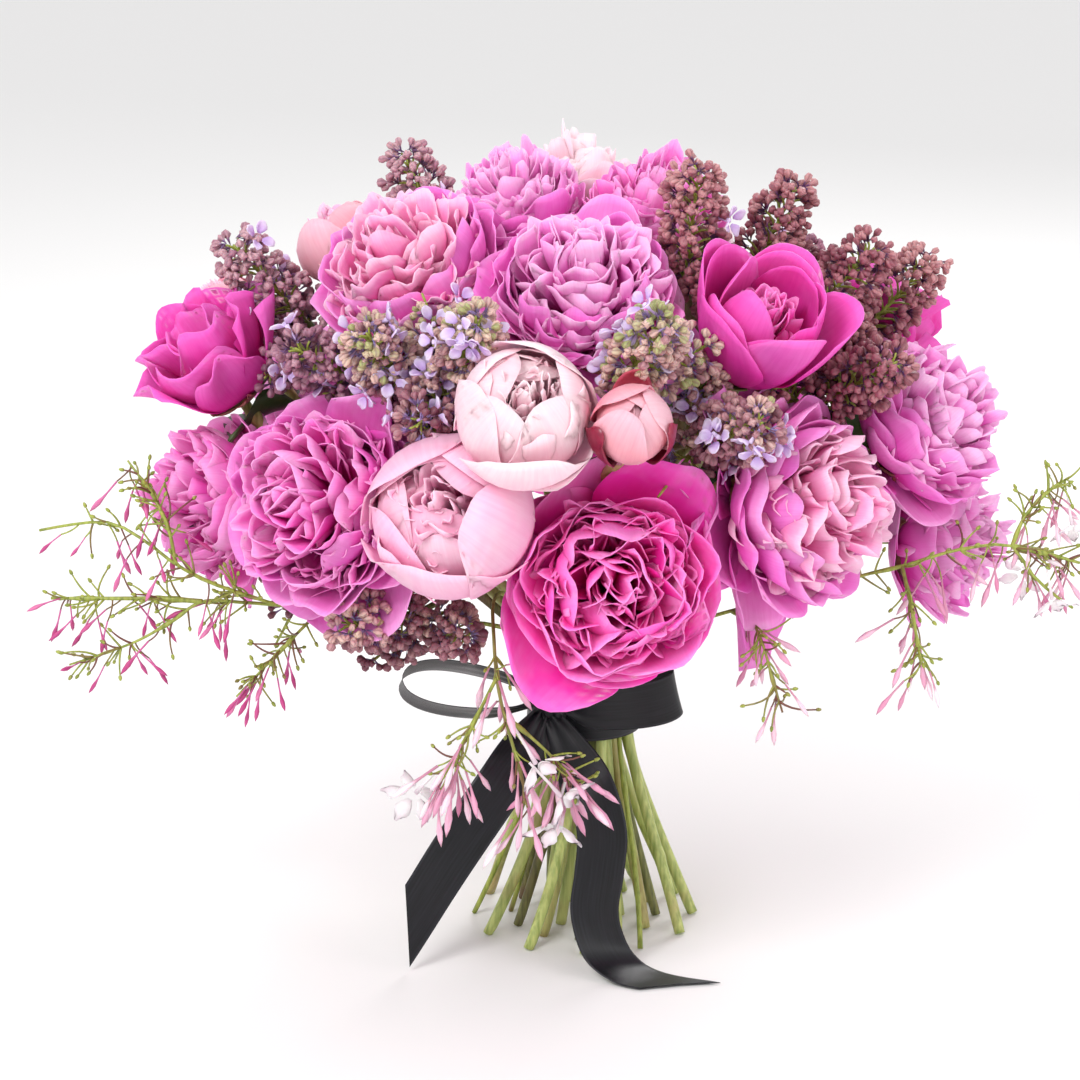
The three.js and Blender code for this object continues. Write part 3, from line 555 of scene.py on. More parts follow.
LILAC_BUDS = {
    "mauve": tube_bud_material("lilac_bud_dusty_mauve_waxy", "#7d5a86",
                               ((0.0, "#70475a"), (0.5, "#a87488"), (1.0, "#cba0a8"))),
    "tan": tube_bud_material("lilac_bud_tan_waxy", "#a08bc0", (
        (0.0, "#74404e"), (0.3, "#a8727e"), (0.55, "#c79c9c"), (0.85, "#dfc0b0"), (1.0, "#a9ad72"))),
    "burgundy": tube_bud_material("lilac_bud_burgundy_waxy", "#6d4473",
                                  ((0.0, "#6e3645"), (0.5, "#a2616d"), (1.0, "#c89092"))),
}
FLORET = petal_material("floret_lavender_fresh", "#b795d8", "#c9aee4", "#ddcbf0")
JASMINE_PINK = tube_bud_material("jasmine_bud_deep_pink_waxy", "#c9629c",
                                 ((0.0, "#a82c6e"), (0.5, "#c94f8f"), (1.0, "#dd7fae")), crease_shade=0.3)
JASMINE_PALE = tube_bud_material("jasmine_bud_blush_waxy", "#c98ba4",
                                 ((0.0, "#cc6f9a"), (0.45, "#e3aec6"), (1.0, "#f6e8ee")), crease_shade=0.2)
JASMINE_WHITE = petal_material("jasmine_star_white_fresh", "#fbf8f8", "#f3eef0", "#dccbd4")
SATIN = satin_material()
TWINE = twine_material()


# ------------------------------------------------------------------ peonies


def petals(rng, count, tilt, bend, turn, flare, length, width, cup, ruffle, notch, start, rise, rows, cols,
           first=0.0, twist=0.0, tip_width=0.8, rounding=0.17):
    """Petals round +Z. Each runs from its base along an arc whose slope is tilt - bend * v**turn +
    flare * v**4 from +Z. Its half width swells as width * (0.3 + 0.7 sin) and is tip_width of that
    at the tip. The tip line is rounded by rounding * u**2.6 and notched by a cosine. Across, it is
    cupped by cup * x**2 / width, and its outer half waves by sines of u and v. An argument is one
    value for all or one for each petal."""
    each = lambda a: np.broadcast_to(np.asarray(a, float).reshape(-1, 1, 1), (count, 1, 1))
    vary = lambda size: 1 + size * rng.standard_normal((count, 1, 1))
    u = np.linspace(-1, 1, cols)[None, None]
    v = np.linspace(0, 1, rows)[None, :, None]
    phase = rng.uniform(0, TAU, (6, count, 1, 1))
    lean_out = 0.07 * rng.standard_normal((count, 1, 1))
    slope = each(tilt) + lean_out * v - each(bend) * v ** each(turn) * vary(0.07) + each(flare) * v**4
    step = each(length) * vary(0.05) / (rows - 1)
    out = np.cumsum(np.sin(slope), 1) * step
    up = np.cumsum(np.cos(slope), 1) * step
    swell = 0.3 + 0.7 * np.sin(np.pi / 2 * np.minimum(1, v / 0.55))
    swell = swell * (1 - (1 - each(tip_width)) * np.clip((v - 0.55) / 0.45, 0, 1) ** 1.7)
    x = each(width) * vary(0.08) * swell * u
    waves = rng.uniform(0.5, 1.5, (count, 1, 1))
    notches = 0.5 - 0.5 * np.cos(waves * 1.5 * np.pi * u + phase[0])
    back = v**2 * (rounding * np.abs(u) ** 2.6 + each(notch) * notches) * each(length)
    wave = v**1.6 * np.sin(waves * np.pi * u + phase[1] + 1.5 * v)
    frill = v**2 * np.abs(u) ** 1.5 * np.sin(6 * v + 3 * u + phase[2])
    fine = v**2.5 * np.sin(2.4 * np.pi * u + phase[3]) * np.cos(5 * v + phase[4])
    lift = each(ruffle) * (1.1 * wave + 0.7 * frill + 0.3 * fine) + each(cup) * x**2 / each(width)
    # The notch draws the tip back along the arc, and the lift moves it off the arc, inwards.
    r = out - back * np.sin(slope) - lift * np.cos(slope)
    z = up - back * np.cos(slope) + lift * np.sin(slope)
    roll = rng.standard_normal((count, 1, 1)) * twist
    x, lean = x * np.cos(roll), x * np.sin(roll)
    r = each(start) + r - lean * np.cos(slope)
    z = each(rise) + z + lean * np.sin(slope)
    round_it = (first + np.arange(count) * TAU / count if np.ndim(first) == 0 else first).reshape(-1, 1, 1)
    round_it = round_it + rng.standard_normal((count, 1, 1)) * 0.06
    c, s = np.cos(round_it), np.sin(round_it)
    return np.stack([r * c + x * s, r * s - x * c, z], -1)


# Rings of outer petals of each kind of flower, from the outside in, in half widths of the bloom:
# count, tilt and bend in degrees, turn, flare in degrees, length, half width, cup, ruffle, notch.
RINGS = {
    "full": [
        (6, 106, 48, 0.8, 0, 1.14, 0.64, 0.3, 0.06, 0.02),
        (8, 100, 74, 0.8, 6, 1.2, 0.56, 0.42, 0.05, 0.03),
        (9, 94, 84, 0.8, 0, 1.22, 0.5, 0.45, 0.05, 0.04),
        (9, 88, 98, 0.9, 0, 1.26, 0.42, 0.5, 0.05, 0.05),
    ],
    "open": [
        (5, 102, 82, 0.8, 14, 1.02, 0.72, 0.4, 0.06, 0.02),
        (6, 96, 92, 0.8, 6, 1.06, 0.64, 0.46, 0.07, 0.03),
        (7, 88, 100, 0.9, 0, 1.1, 0.52, 0.5, 0.06, 0.05),
        (7, 80, 108, 0.9, 0, 1.12, 0.44, 0.5, 0.06, 0.06),
    ],
    "globe": [
        (5, 102, 158, 0.85, 8, 2.24, 1.02, 0.5, 0.03, 0.01),
        (5, 98, 164, 0.85, 0, 2.2, 0.96, 0.52, 0.03, 0.02),
        (6, 94, 150, 0.9, 0, 2.0, 0.82, 0.5, 0.04, 0.03),
        (7, 88, 140, 1.0, 0, 1.75, 0.6, 0.48, 0.05, 0.05),
    ],
    "cup": [
        (5, 104, 112, 0.5, 18, 2.04, 0.8, 0.52, 0.03, 0.0),
        (5, 98, 110, 0.5, 8, 1.98, 0.75, 0.56, 0.03, 0.01),
        (4, 92, 112, 0.5, 0, 1.8, 0.6, 0.56, 0.05, 0.02),
    ],
    "loose": [
        (4, 90, 88, 0.6, 30, 1.85, 0.9, 0.25, 0.16, 0.04),
        (4, 74, 74, 0.6, 22, 1.95, 0.85, 0.25, 0.2, 0.05),
        (4, 50, 50, 0.8, 14, 1.9, 0.74, 0.3, 0.22, 0.06),
        (3, 28, 24, 0.8, 8, 1.75, 0.6, 0.3, 0.2, 0.06),
    ],
    "bud": [
        (4, 104, 168, 0.75, 0, 2.6, 1.0, 0.5, 0.01, 0.0),
        (4, 98, 172, 0.75, 0, 2.5, 0.9, 0.5, 0.015, 0.0),
    ],
}
# The inner petals: count, half width of the dome that their tips make, its middle's height and its
# own height, half width of a petal, ruffle, notch, bend in degrees, twist.
INNER = {
    "full": (150, 0.86, 0.52, 0.9, 0.22, 0.05, 0.07, 84, 0.45),
    "open": (110, 0.72, 0.42, 0.68, 0.24, 0.055, 0.07, 84, 0.5),
    "globe": (150, 0.72, 0.8, 0.86, 0.16, 0.03, 0.05, 80, 0.5, 8, 7),
    "cup": (60, 0.52, 0.8, 0.7, 0.19, 0.05, 0.06, 60, 0.5),
    "loose": (0,),
    "bud": (16, 0.4, 0.9, 0.7, 0.2, 0.03, 0.03, 70, 0.4),
}


def crown(rng, count, wide, middle, tall, width, ruffle, notch, bend, twist, rows=8, cols=9):
    """The crowded petals inside a bloom. Their tips lie on half an egg, spread evenly over it by the
    golden angle and bunched into tufts by sines of the two angles. Each petal runs to its tip from
    low on the axis, scoops in over the middle, most at the sides, and is rolled round its length."""
    i = (np.arange(count) + 0.5) / count
    polar, turn = np.arccos(1 - 1.12 * i), np.arange(count) * GOLDEN
    phase = rng.uniform(0, TAU, 3)
    tuft = 1 + 0.08 * np.sin(3 * turn + phase[0]) * np.sin(4 * polar + phase[1])
    tuft = tuft + 0.05 * np.sin(5 * turn + phase[2])
    # The innermost tips lean over the axis, so that the middle is closed.
    tip_r = wide * tuft * np.sin(polar) - 0.2 * np.exp(-((polar / 0.45) ** 2))
    tip_z = middle + tall * tuft * np.cos(polar)
    start_r, start_z = 0.16 * np.sin(polar), middle * 0.35 + 0.2 * tall * np.cos(polar)
    length = np.hypot(tip_r - start_r, tip_z - start_z) * rng.uniform(0.86, 1.04, count)
    bends = np.radians(bend) * rng.uniform(0.1, 1.35, count) * (0.1 + 0.9 * np.sin(polar))
    # A bend that grows as v**2 sets the tip back by a third of it, which the tilt makes up for.
    tilt = np.arctan2(tip_r - start_r, tip_z - start_z) + bends / 3
    widths = width * rng.uniform(0.6, 1.35, count)
    return petals(rng, count, tilt, bends, 2.0, 0.0, length * 1.05, widths, cup=0.55, ruffle=ruffle,
                  notch=notch, start=start_r, rise=start_z, rows=rows, cols=cols, first=turn, twist=twist,
                  tip_width=0.95, rounding=0.22)


def head_of(node):
    """Seat, axis, half width and length of a CAD head: the two points where most of its faces meet
    are its poles, and the one nearer the tie is its seat."""
    points, tri = weld(node)
    poles = points[np.argsort(np.bincount(tri.ravel(), minlength=len(points)))[-2:]]
    low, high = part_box("twine_tie")
    tie = np.array((low + high) / 2)
    seat, top = poles[np.argsort(np.linalg.norm(poles - tie, axis=1))]
    axis = unit(top - seat)
    reach = np.linalg.norm(np.cross(points - seat, axis), axis=1).max()
    return seat, axis, reach, np.linalg.norm(top - seat)


def placed(surface, rows, seat, scale):
    """A surface made round +Z in half widths, put on its seat."""
    points, *rest = surface
    return (points * scale @ rows + seat, *rest)


def down_to_tip(shape, near, far):
    """The depth of each point of a grid of petals, from near at the base to far at the tip. On peony
    petals a deep point takes the darker base colour, which is partly painted shade.
    """
    count, rows, cols, _ = shape.shape
    return np.linspace(near, far, rows)[None, :, None] * np.ones((count, rows, cols))


def sepals(rng, count, reach, width=0.26, tip_width=0.12, bend=70, first=0.0):
    """Leafy sepals under a bloom: pointed petals that hug its base."""
    shape = petals(rng, count, np.radians(108), np.radians(bend), 0.8, 0.0, reach, width, cup=0.3,
                   ruffle=0.03, notch=0.0, start=0.02, rise=-0.02, rows=9, cols=7, first=first,
                   tip_width=tip_width)
    return thin(shape, 0.02, rng.uniform(0, 1, count), down_to_tip(shape, 0.2, 1))


# Single guard petals that stand away from a bloom: the way out in the world, then tilt and bend in
# degrees, length and half width in half widths of the bloom.
GUARDS = {
    "pink_left_front": [((0.1, 0, -1), 112, 30, 1.3, 0.6), ((0.8, 0.2, 0.8), 78, 40, 1.35, 0.5)],
    "pink_far_left": [((0.4, 0, -1), 108, 30, 1.25, 0.5)],
    "pink_right_front": [((-0.7, -0.2, 0.6), 92, 30, 1.5, 0.5), ((-0.6, -0.4, -0.2), 100, 20, 1.4, 0.5),
                         ((-0.3, 0, -1), 106, 20, 1.35, 0.5)],
    "pink_centre": [((0.9, -0.3, -0.5), 98, 24, 1.4, 0.56), ((-0.9, 0, 0.3), 84, 40, 1.3, 0.6)],
    "hot_pink_front": [((0.7, 0, 1), 80, 44, 1.36, 0.6), ((-0.8, 0, -1), 104, 56, 1.26, 0.7)],
    "blush_globe": [((0.7, -0.2, -0.5), 112, 96, 1.6, 0.8)],
}

# Each CAD head: kind of flower, colour of its outer petals, colour of its inner petals, petal slot.
BLOOMS = {
    "hot_pink_front": ("open", "hot", "hot", "hot_pink"),
    "pink_globe": ("globe", "globe", "globe", "soft_pink"),
    "blush_globe": ("globe", "blush", "blush", "blush"),
    "bud_front": ("bud", "peach", "peach", "peach"),
    "pink_left_front": ("full", "guard", "pink", "pink"),
    "pink_far_left": ("full", "pink", "pink", "pink"),
    "magenta_far_left": ("loose", "magenta", "magenta", "magenta"),
    "bud_far_left": ("globe", "peach", "globe", "peach"),
    "pink_upper_left": ("full", "guard", "soft", "soft_pink"),
    "peach_upper_left": ("globe", "peach", "soft", "peach"),
    "mauve_top": ("full", "guard", "mauve", "mauve_pink"),
    "pink_top": ("full", "pink", "pink", "pink"),
    "white_top_back": ("full", "blush", "blush", "blush"),
    "pink_centre": ("full", "guard", "mauve", "mauve_pink"),
    "magenta_cup": ("cup", "magenta", "hot", "hot_pink"),
    "pink_right_front": ("full", "guard", "soft", "soft_pink"),
    "pink_right": ("full", "guard", "mauve", "mauve_pink"),
    "pink_far_right_low": ("full", "guard", "mauve", "mauve_pink"),
    "magenta_right_back": ("loose", "magenta", "magenta", "magenta"),
    "pink_back_left": ("full", "guard", "pink", "pink"),
    "hot_pink_back": ("open", "hot", "hot", "hot_pink"),
    "pink_back_right": ("full", "guard", "mauve", "mauve_pink"),
    "blush_back": ("globe", "blush", "blush", "blush"),
    "magenta_back": ("loose", "magenta", "magenta", "magenta"),
}
PETAL_THICKNESS = 0.5 * MM
# The seat that the petals grow from fills the foot of a bloom, in half widths of the bloom.
SEAT = turned([[0, -0.03], [0.14, 0.0], [0.17, 0.18], [0.15, 0.4], [0, 0.5]], 14)

for order, (flower, (kind, outer_look, inner_look, slot)) in enumerate(BLOOMS.items()):
    rng = np.random.default_rng(100 + order)
    node = f"peony_{flower}"
    seat, axis, reach, _ = head_of(node)
    rows = basis(axis)
    thick = PETAL_THICKNESS / reach
    outer = []
    for ring, (count, tilt, bend, turn, flare, *rest) in enumerate(RINGS[kind]):
        shape = petals(rng, count, *np.radians((tilt, bend)), turn, np.radians(flare), *rest, start=0.08,
                       rise=0.03 + 0.04 * ring, rows=11, cols=11, first=rng.uniform(0, TAU), tip_width=0.75)
        # Depth 0.8 at the base to 0.1 at the tip: the darker base colour is partly painted shade.
        outer.append(thin(shape, thick, rng.uniform(0, 1, count), down_to_tip(shape, 0.8, 0.1)))
    for way, tilt, bend, length, width in GUARDS.get(flower, []):
        shape = petals(rng, 1, *np.radians((tilt, bend)), 0.8, np.radians(12), length, width, cup=0.3,
                       ruffle=0.09, notch=0.03, start=0.06, rise=0.02, rows=11, cols=11,
                       first=np.array([turn_to(rows, way)]))
        # Depth 0.8 at the base to 0.2 at the tip: the darker base colour is partly painted shade.
        outer.append(thin(shape, thick, rng.uniform(0.2, 0.8, 1), down_to_tip(shape, 0.8, 0.2)))
    shown = [placed(surface, rows, seat, reach) for surface in outer]
    piece(f"{flower}_outer_petals", shown, PETALS[outer_look], [node])
    if INNER[kind][0]:
        shape = crown(rng, *INNER[kind])
        # Depth 1 at the base, deep in the middle of the bloom, to 0 at the tip: the dark base colour there
        # is partly painted shade.
        inner = thin(shape, thick, rng.uniform(0, 1, len(shape)), down_to_tip(shape, 1.0, 0.0))
        inner = placed(inner, rows, seat, reach)
        core = scattered(SEAT, seat[None], axis[None], reach, np.zeros(1), [0.3])
        piece(f"{flower}_inner_petals", [inner, core], PETALS[inner_look])
    if kind == "bud":
        first = turn_to(rows, (-0.8, 0, -0.6)) + np.array([0, 2.2, 4.1])
        green = sepals(rng, 3, reach=2.15, width=0.66, tip_width=0.5, bend=122, first=first)
    else:
        green = sepals(rng, 5, reach=0.75)
    look = BUD_SEPAL if kind == "bud" else SEPAL
    piece(f"{flower}_sepals", [placed(green, rows, seat, reach)], look)


# ------------------------------------------------------------------ stalks


def stalks(rng, node, k=64, sides=9, swellings=3, swell=0.2, taper=0.0):
    """Tubes along a node's stalks, thinner by taper towards the tip and a little thicker round a few
    old leaf joints: the half thickness grows by swell * exp(-(distance / 4 mm)**2) at each. The foot
    is cut level with the floor."""
    made = []
    for line, radius in stalks_of(node):
        path = through(line, k)
        along = np.linalg.norm(np.diff(path, axis=0), axis=1).sum() * np.linspace(0, 1, k)
        joints = rng.uniform(0.08, 0.9, swellings) * along[-1]
        lump = np.exp(-(((along[:, None] - joints) / (4 * MM)) ** 2)).sum(1)
        radii = radius * (0.97 - taper * along / along[-1] + swell * lump)
        points, *rest = tubes(path[None], radii[None], sides, rng.uniform(0, 0.7, 1))
        made.append((np.maximum(points, [-9, -9, 0]), *rest))
    return made


for order, node in enumerate(sorted(n for n in NODES if n.startswith("stem_"))):
    rng = np.random.default_rng(300 + order)
    piece(f"{node[5:]}_stem", stalks(rng, node), GREEN, [node])


# ------------------------------------------------------------------ lilac

# Shapes in millimetres, made along +Z.
LILAC_BUD = turned([[0, 0], [0.75, 5.2], [2.4, 7.5], [1.8, 9.4], [0, 10]], 8, 4, 0.3)
FLORET_TUBE = turned([[0, 0], [0.6, 0.2], [0.7, 6], [1.2, 9.4], [0, 9.8]], 6)


def open_floret(count, length, width, rise, tilt, tip_width, seed):
    """The spread petals at the mouth of a floret's tube, as thin sheets."""
    rng = np.random.default_rng(seed)
    shape = petals(rng, count, np.radians(tilt), np.radians(20), 1.5, 0.0, length, width, cup=0.5,
                   ruffle=0.35, notch=0.02, start=0.7, rise=rise, rows=5, cols=5, tip_width=tip_width)
    return thin(shape, 0.4, np.zeros(count), down_to_tip(shape, 0, 1))[:3]


LILAC_FLORET = open_floret(4, length=6.6, width=2.7, rise=9.2, tilt=78, tip_width=0.7, seed=7)
# Buds at the end of each branch of a panicle, and the height above the floor where the lilac stops.
EACH, LOWEST_LILAC = 6, 190 * MM

HEADS = [(*head_of(f"peony_{flower}"), 1.2 if flower in GUARDS else 1.0) for flower in BLOOMS]


def clear_of_blooms(points, ease):
    """Which points lie outside every bloom's CAD outline, taken as an egg scaled by ease, and wider
    where single guard petals stand away."""
    clear = np.ones(points.shape[:-1], bool)
    for seat, axis, reach, tall, spread in HEADS:
        away = points - seat
        up = away @ axis
        out = np.linalg.norm(away - up[..., None] * axis, axis=-1)
        clear &= (2 * up / tall - 1) ** 2 + (out / reach / spread) ** 2 > ease**2
    return clear


def side_shoots(rng, base, axis, wide, long, count=3):
    """Smaller panicles that leave the foot of a panicle sideways, spread round it."""
    x, y, _ = basis(axis)
    turn = rng.uniform(0, TAU) + np.arange(count) * TAU / count
    for c, s, size in zip(np.cos(turn), np.sin(turn), rng.uniform(0.62, 0.82, count)):
        way = unit((c * x + s * y) * 0.95 + axis * rng.uniform(0.3, 0.6))
        yield base + way * 0.25 * wide - axis * 0.1 * long, way, wide * (0.3 + 0.7 * size), long * size


def panicle(rng, base, axis, wide, long, branches):
    """A lilac panicle: side branches leave its axis by the golden angle and end at 0.55 of the CAD
    outline's half width, and each carries buds that fan out from its tip. Returns the branches'
    paths, and the buds' places and ways."""
    x, y, _ = basis(axis)
    i = np.arange(branches)
    h = 0.08 + 0.86 * (i + 0.5) / branches
    share = np.interp(h, [0, 0.08, 0.34, 0.66, 0.92, 1], [0, 0.55, 1, 0.86, 0.42, 0])[:, None]
    turn = (i * GOLDEN + rng.normal(0, 0.2, branches))[:, None]
    out = np.cos(turn) * x + np.sin(turn) * y
    root = base + axis * (h[:, None] - 0.1) * long
    tip = base + axis * h[:, None] * long + out * share * wide * rng.uniform(0.42, 0.66, (branches, 1))
    t = np.linspace(0, 1, 4)[None, :, None]
    paths = root[:, None] * (1 - t) + tip[:, None] * t + axis * 1.5 * MM * np.sin(np.pi * t)
    ways = unit(out[:, None] + 0.4 * axis + 0.72 * rng.standard_normal((branches, EACH, 3)))
    spots = tip[:, None] - ways * 1.5 * MM + rng.normal(0, 0.8 * MM, (branches, EACH, 3))
    return paths, spots.reshape(-1, 3), ways.reshape(-1, 3)


# Each spray: the colour of its buds, and how many of them are open florets.
SPRAYS = {
    "left": ("mauve", 20), "centre_left": ("tan", 40), "centre_right": ("tan", 26),
    "upper_right": ("burgundy", 8), "right": ("burgundy", 0), "low_left": ("tan", 0),
    "back": ("mauve", 14),
}

for order, (spray, (look, blown)) in enumerate(SPRAYS.items()):
    rng = np.random.default_rng(400 + order)
    node = f"lilac_{spray}"
    wood, twigs, spots, ways = stalks(rng, node, sides=8), [], [], []
    # A panicle of the CAD has 42 branches, and each of the three side shoots at its foot has 26.
    whole = [(*egg, 42, 0.94) for egg in panicles_of(node)]
    whole += [(*shoot, 26, 1.12) for egg in panicles_of(node) for shoot in side_shoots(rng, *egg)]
    for base, axis, wide, long, branches, ease in whole:
        paths, some, way = panicle(rng, base, axis, wide, long, branches)
        ends = some.reshape(branches, EACH, 3)
        free = clear_of_blooms(ends, ease).all(1) & (ends[:, 0, 2] > LOWEST_LILAC)
        if not free.any():
            continue
        twigs.append(tubes(paths[free], 0.7 * MM, 5, rng.uniform(0, 0.4, free.sum())))
        middle = through(np.array([base, base + axis * long * 0.5, base + axis * long * 0.9]), 8)
        twigs.append(tubes(middle[None], np.linspace(1.6, 0.7, 8)[None] * MM, 6, [0.2]))
        spots.append(some[np.repeat(free, EACH)])
        ways.append(way[np.repeat(free, EACH)])
    spots, ways = np.concatenate(spots), np.concatenate(ways)
    chosen = np.zeros(len(spots), bool)
    chosen[rng.choice(len(spots), blown, replace=False)] = True
    n = len(spots) - blown
    clump = np.repeat(rng.normal(0, 0.16, len(spots) // EACH), EACH)[~chosen]
    high = spots[~chosen, 2]
    tone = np.clip(0.5 + clump + rng.normal(0, 0.12, n) + 0.2 * (high - high.mean()) / high.std(), 0, 1)
    sizes = rng.uniform(0.95, 1.32, n) * MM
    buds = scattered(LILAC_BUD, spots[~chosen], ways[~chosen], sizes, rng.uniform(0, TAU, n), tone)
    piece(f"{node}_stalk", wood, WOODY, [node])
    piece(f"{node}_twigs", twigs, SPRIG)
    piece(f"{node}_buds", [buds], LILAC_BUDS[look])
    if blown:
        at, way = spots[chosen], ways[chosen]
        spin, tone = rng.uniform(0, TAU, blown), rng.uniform(0, 1, blown)
        shapes = [scattered(shape, at, way, 1.3 * MM, spin, tone) for shape in (FLORET_TUBE, LILAC_FLORET)]
        piece(f"{node}_florets", shapes, FLORET)


def leaf(rng, base, axis, way, length):
    """A lilac leaf: a petal's grid, pointed at the tip and folded a little along its middle."""
    rows = basis(unit(np.array(axis, float)))
    shape = petals(rng, 1, np.radians(70), np.radians(-25), 1.0, 0.0, 1.0, 0.27, cup=0.5, ruffle=0.03,
                   notch=0.0, start=0.02, rise=0.0, rows=12, cols=9, first=np.array([turn_to(rows, way)]),
                   tip_width=0.05)
    blade = thin(shape, 0.4 * MM / length, rng.uniform(0, 1, 1), down_to_tip(shape, 0, 1))
    return placed(blade, rows, base, length)


rng = np.random.default_rng(480)
for spray, ways in {"right": [(0.9, -0.5, 0.1)], "back": [(0.4, 1, 0), (-0.9, 0.5, 0)]}.items():
    leaves = [leaf(rng, base - axis * 2 * MM, axis, way, 42 * MM)
              for base, axis, _, _ in panicles_of(f"lilac_{spray}") for way in ways]
    piece(f"lilac_{spray}_leaves", leaves, LEAF)


# Peony leaves left on the upper stems, under the blooms: the flower, and how far up its stem.
LEAFY = {
    "pink_back_left": (0.72, 0.8, 0.87), "hot_pink_back": (0.7, 0.78, 0.86),
    "pink_back_right": (0.72, 0.8, 0.87), "blush_back": (0.8, 0.88), "magenta_back": (0.74, 0.82, 0.9),
    "white_top_back": (0.78, 0.86), "magenta_right_back": (0.78, 0.86),
    "magenta_far_left": (0.8, 0.88), "pink_right": (0.8, 0.88), "pink_far_right_low": (0.78, 0.87),
    "pink_far_left": (0.78, 0.87),
}
for flower, heights in LEAFY.items():
    path = through(stalks_of(f"stem_{flower}")[0][0], 100)
    ahead = unit(np.gradient(path, axis=0))
    leaves = []
    for h in heights:
        at = int(h * 99)
        outward = np.append(unit(path[at, :2] + 1e-6), 0.0)
        for turn in (-0.9, 0.9):
            c, s = np.cos(turn), np.sin(turn)
            way = (c * outward[0] - s * outward[1], s * outward[0] + c * outward[1], 0.1)
            leaves.append(leaf(rng, path[at], ahead[at], way, rng.uniform(54, 70) * MM))
    piece(f"{flower}_stem_leaves", leaves, LEAF)


# ------------------------------------------------------------------ jasmine


def bent(shape, bend):
    """A shape in millimetres bent sideways by bend * z**2."""
    points, faces, uv = shape
    return points + bend * points[:, 2:] ** 2 * [1, 0, 0], faces, uv


JASMINE_BUD = turned([[0, 0], [0.6, 0.2], [0.55, 9], [0.9, 13], [1.65, 17.5], [1.2, 21.5], [0, 25]], 7)
JASMINE_BUD = bent(JASMINE_BUD, 0.004)
JASMINE_TUBE = bent(turned([[0, 0], [0.6, 0.2], [0.7, 12], [1.1, 19], [0, 19.4]], 7), 0.003)
JASMINE_STAR = open_floret(5, length=12, width=3.4, rise=18.8, tilt=70, tip_width=0.25, seed=8)
NUB = turned([[0, 0], [0.8, 0.4], [0.95, 1.6], [0.5, 2.8], [0, 3.1]], 6)

# Each vine: colour of its buds, buds on each stalk, pairs of green twiglets on each, open stars, the
# part of each stalk that they sit on, out of 60 points, and the size of its flowers.
VINES = {
    "left": (JASMINE_PINK, 11, 15, 0, 12, 1.0), "front": (JASMINE_PALE, 19, 5, 4, 26, 1.4),
    "right": (JASMINE_PALE, 12, 10, 3, 16, 1.1),
}
# On the vine itself only its free end carries flowers, from this point on.
FREE_END = 44


def offshoots(rng, roots, leads, curl, radii):
    """Short thin stalks: from each root along its lead, curving by curl * t**2. Returns their tubes,
    tips and the ways that the tips point."""
    t = np.linspace(0, 1, 6)[None, :, None]
    bend = np.cross(leads, rng.standard_normal(leads.shape) * curl)
    paths = roots[:, None] + leads[:, None] * t + bend[:, None] * t**2
    stalk = tubes(paths, np.linspace(*radii, 6) * MM, 5, rng.uniform(0, 1, len(paths)))
    return stalk, paths[:, -1], paths[:, -1] - paths[:, -2]


for order, (vine, (look, crowd, sprigs, stars, from_point, big)) in enumerate(VINES.items()):
    rng = np.random.default_rng(500 + order)
    node = f"jasmine_{vine}"
    green = stalks(rng, node, k=48, sides=6, swellings=4, swell=0.35, taper=0.45)
    roots, leads, foots, hangs = [], [], [], []
    for at, (line, _) in enumerate(stalks_of(node)):
        path = through(line, 60)
        ahead = unit(np.gradient(path, axis=0))
        first = FREE_END if at == 0 else from_point
        pick = rng.integers(first - 4, 56, sprigs)
        side = unit(np.cross(ahead[pick], rng.standard_normal((sprigs, 3))))
        for sign in (1, -1):
            lead = unit(0.8 * ahead[pick] + sign * side + 0.25 * rng.standard_normal((sprigs, 3)))
            roots.append(path[pick])
            leads.append(lead * rng.uniform(7, 19, (sprigs, 1)) * MM)
        pick = np.sort(rng.integers(first, 57, crowd))
        way = unit(0.3 * ahead[pick] + [0, 0, -0.9] + 0.4 * rng.standard_normal((crowd, 3)))
        foots.append(path[pick])
        hangs.append(way * rng.uniform(5, 14, (crowd, 1)) * MM)
    twiglets, tips, ways = offshoots(rng, np.concatenate(roots), np.concatenate(leads), 0.3, (0.75, 0.5))
    nubs = scattered(NUB, tips, ways, 1.2 * MM, np.zeros(len(tips)), rng.uniform(0, 0.6, len(tips)))
    footstalks, spots, ways = offshoots(rng, np.concatenate(foots), np.concatenate(hangs), 0.3, (0.55, 0.5))
    piece(f"{node}_stalks", [*green, twiglets, nubs, footstalks], SPRIG, [node])
    n = len(spots)
    ways = unit(unit(ways) + [0, 0, -0.35])
    tone, spin = np.clip(rng.normal(0.5, 0.25, n), 0, 1), rng.uniform(0, TAU, n)
    opened = np.zeros(n, bool)
    opened[rng.choice(n, stars, replace=False)] = True
    shut = ~opened
    sizes = rng.uniform(0.7, 1.05, n - stars) * big * MM
    buds = scattered(JASMINE_BUD, spots[shut], ways[shut], sizes, spin[shut], tone[shut])
    piece(f"{node}_buds", [buds], look)
    if stars:
        shapes = [scattered(shape, spots[opened], ways[opened], big * MM, spin[opened], tone[opened])
                  for shape in (JASMINE_TUBE, JASMINE_STAR)]
        piece(f"{node}_stars", shapes, JASMINE_WHITE)


# ------------------------------------------------------------------ the tie and the ribbon

low, high = map(np.array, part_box("twine_tie"))
twine = (high[2] - low[2]) / 8
turns = np.linspace(0, 3 * TAU, 180)
round_the_stems = (high[0] - low[0]) / 2 - twine
helix = np.stack([np.cos(turns), np.sin(turns), 0 * turns], -1) * round_the_stems
helix[:, 2] = np.linspace(low[2] + twine, high[2] - twine, len(turns))
piece("twine_lashing", [tubes(helix[None], twine, 10)], TWINE, ["twine_tie"])

SATIN_THICKNESS = 0.3 * MM
low, high = map(np.array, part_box("ribbon_wrap"))
ribbon_width = high[2] - low[2]
points, _ = weld("ribbon_wrap")
heights = np.unique(np.round(points[:, 2], 5))
reaches = np.array([np.hypot(*points[np.abs(points[:, 2] - h) < MM / 10][:, :2].T).max() for h in heights])

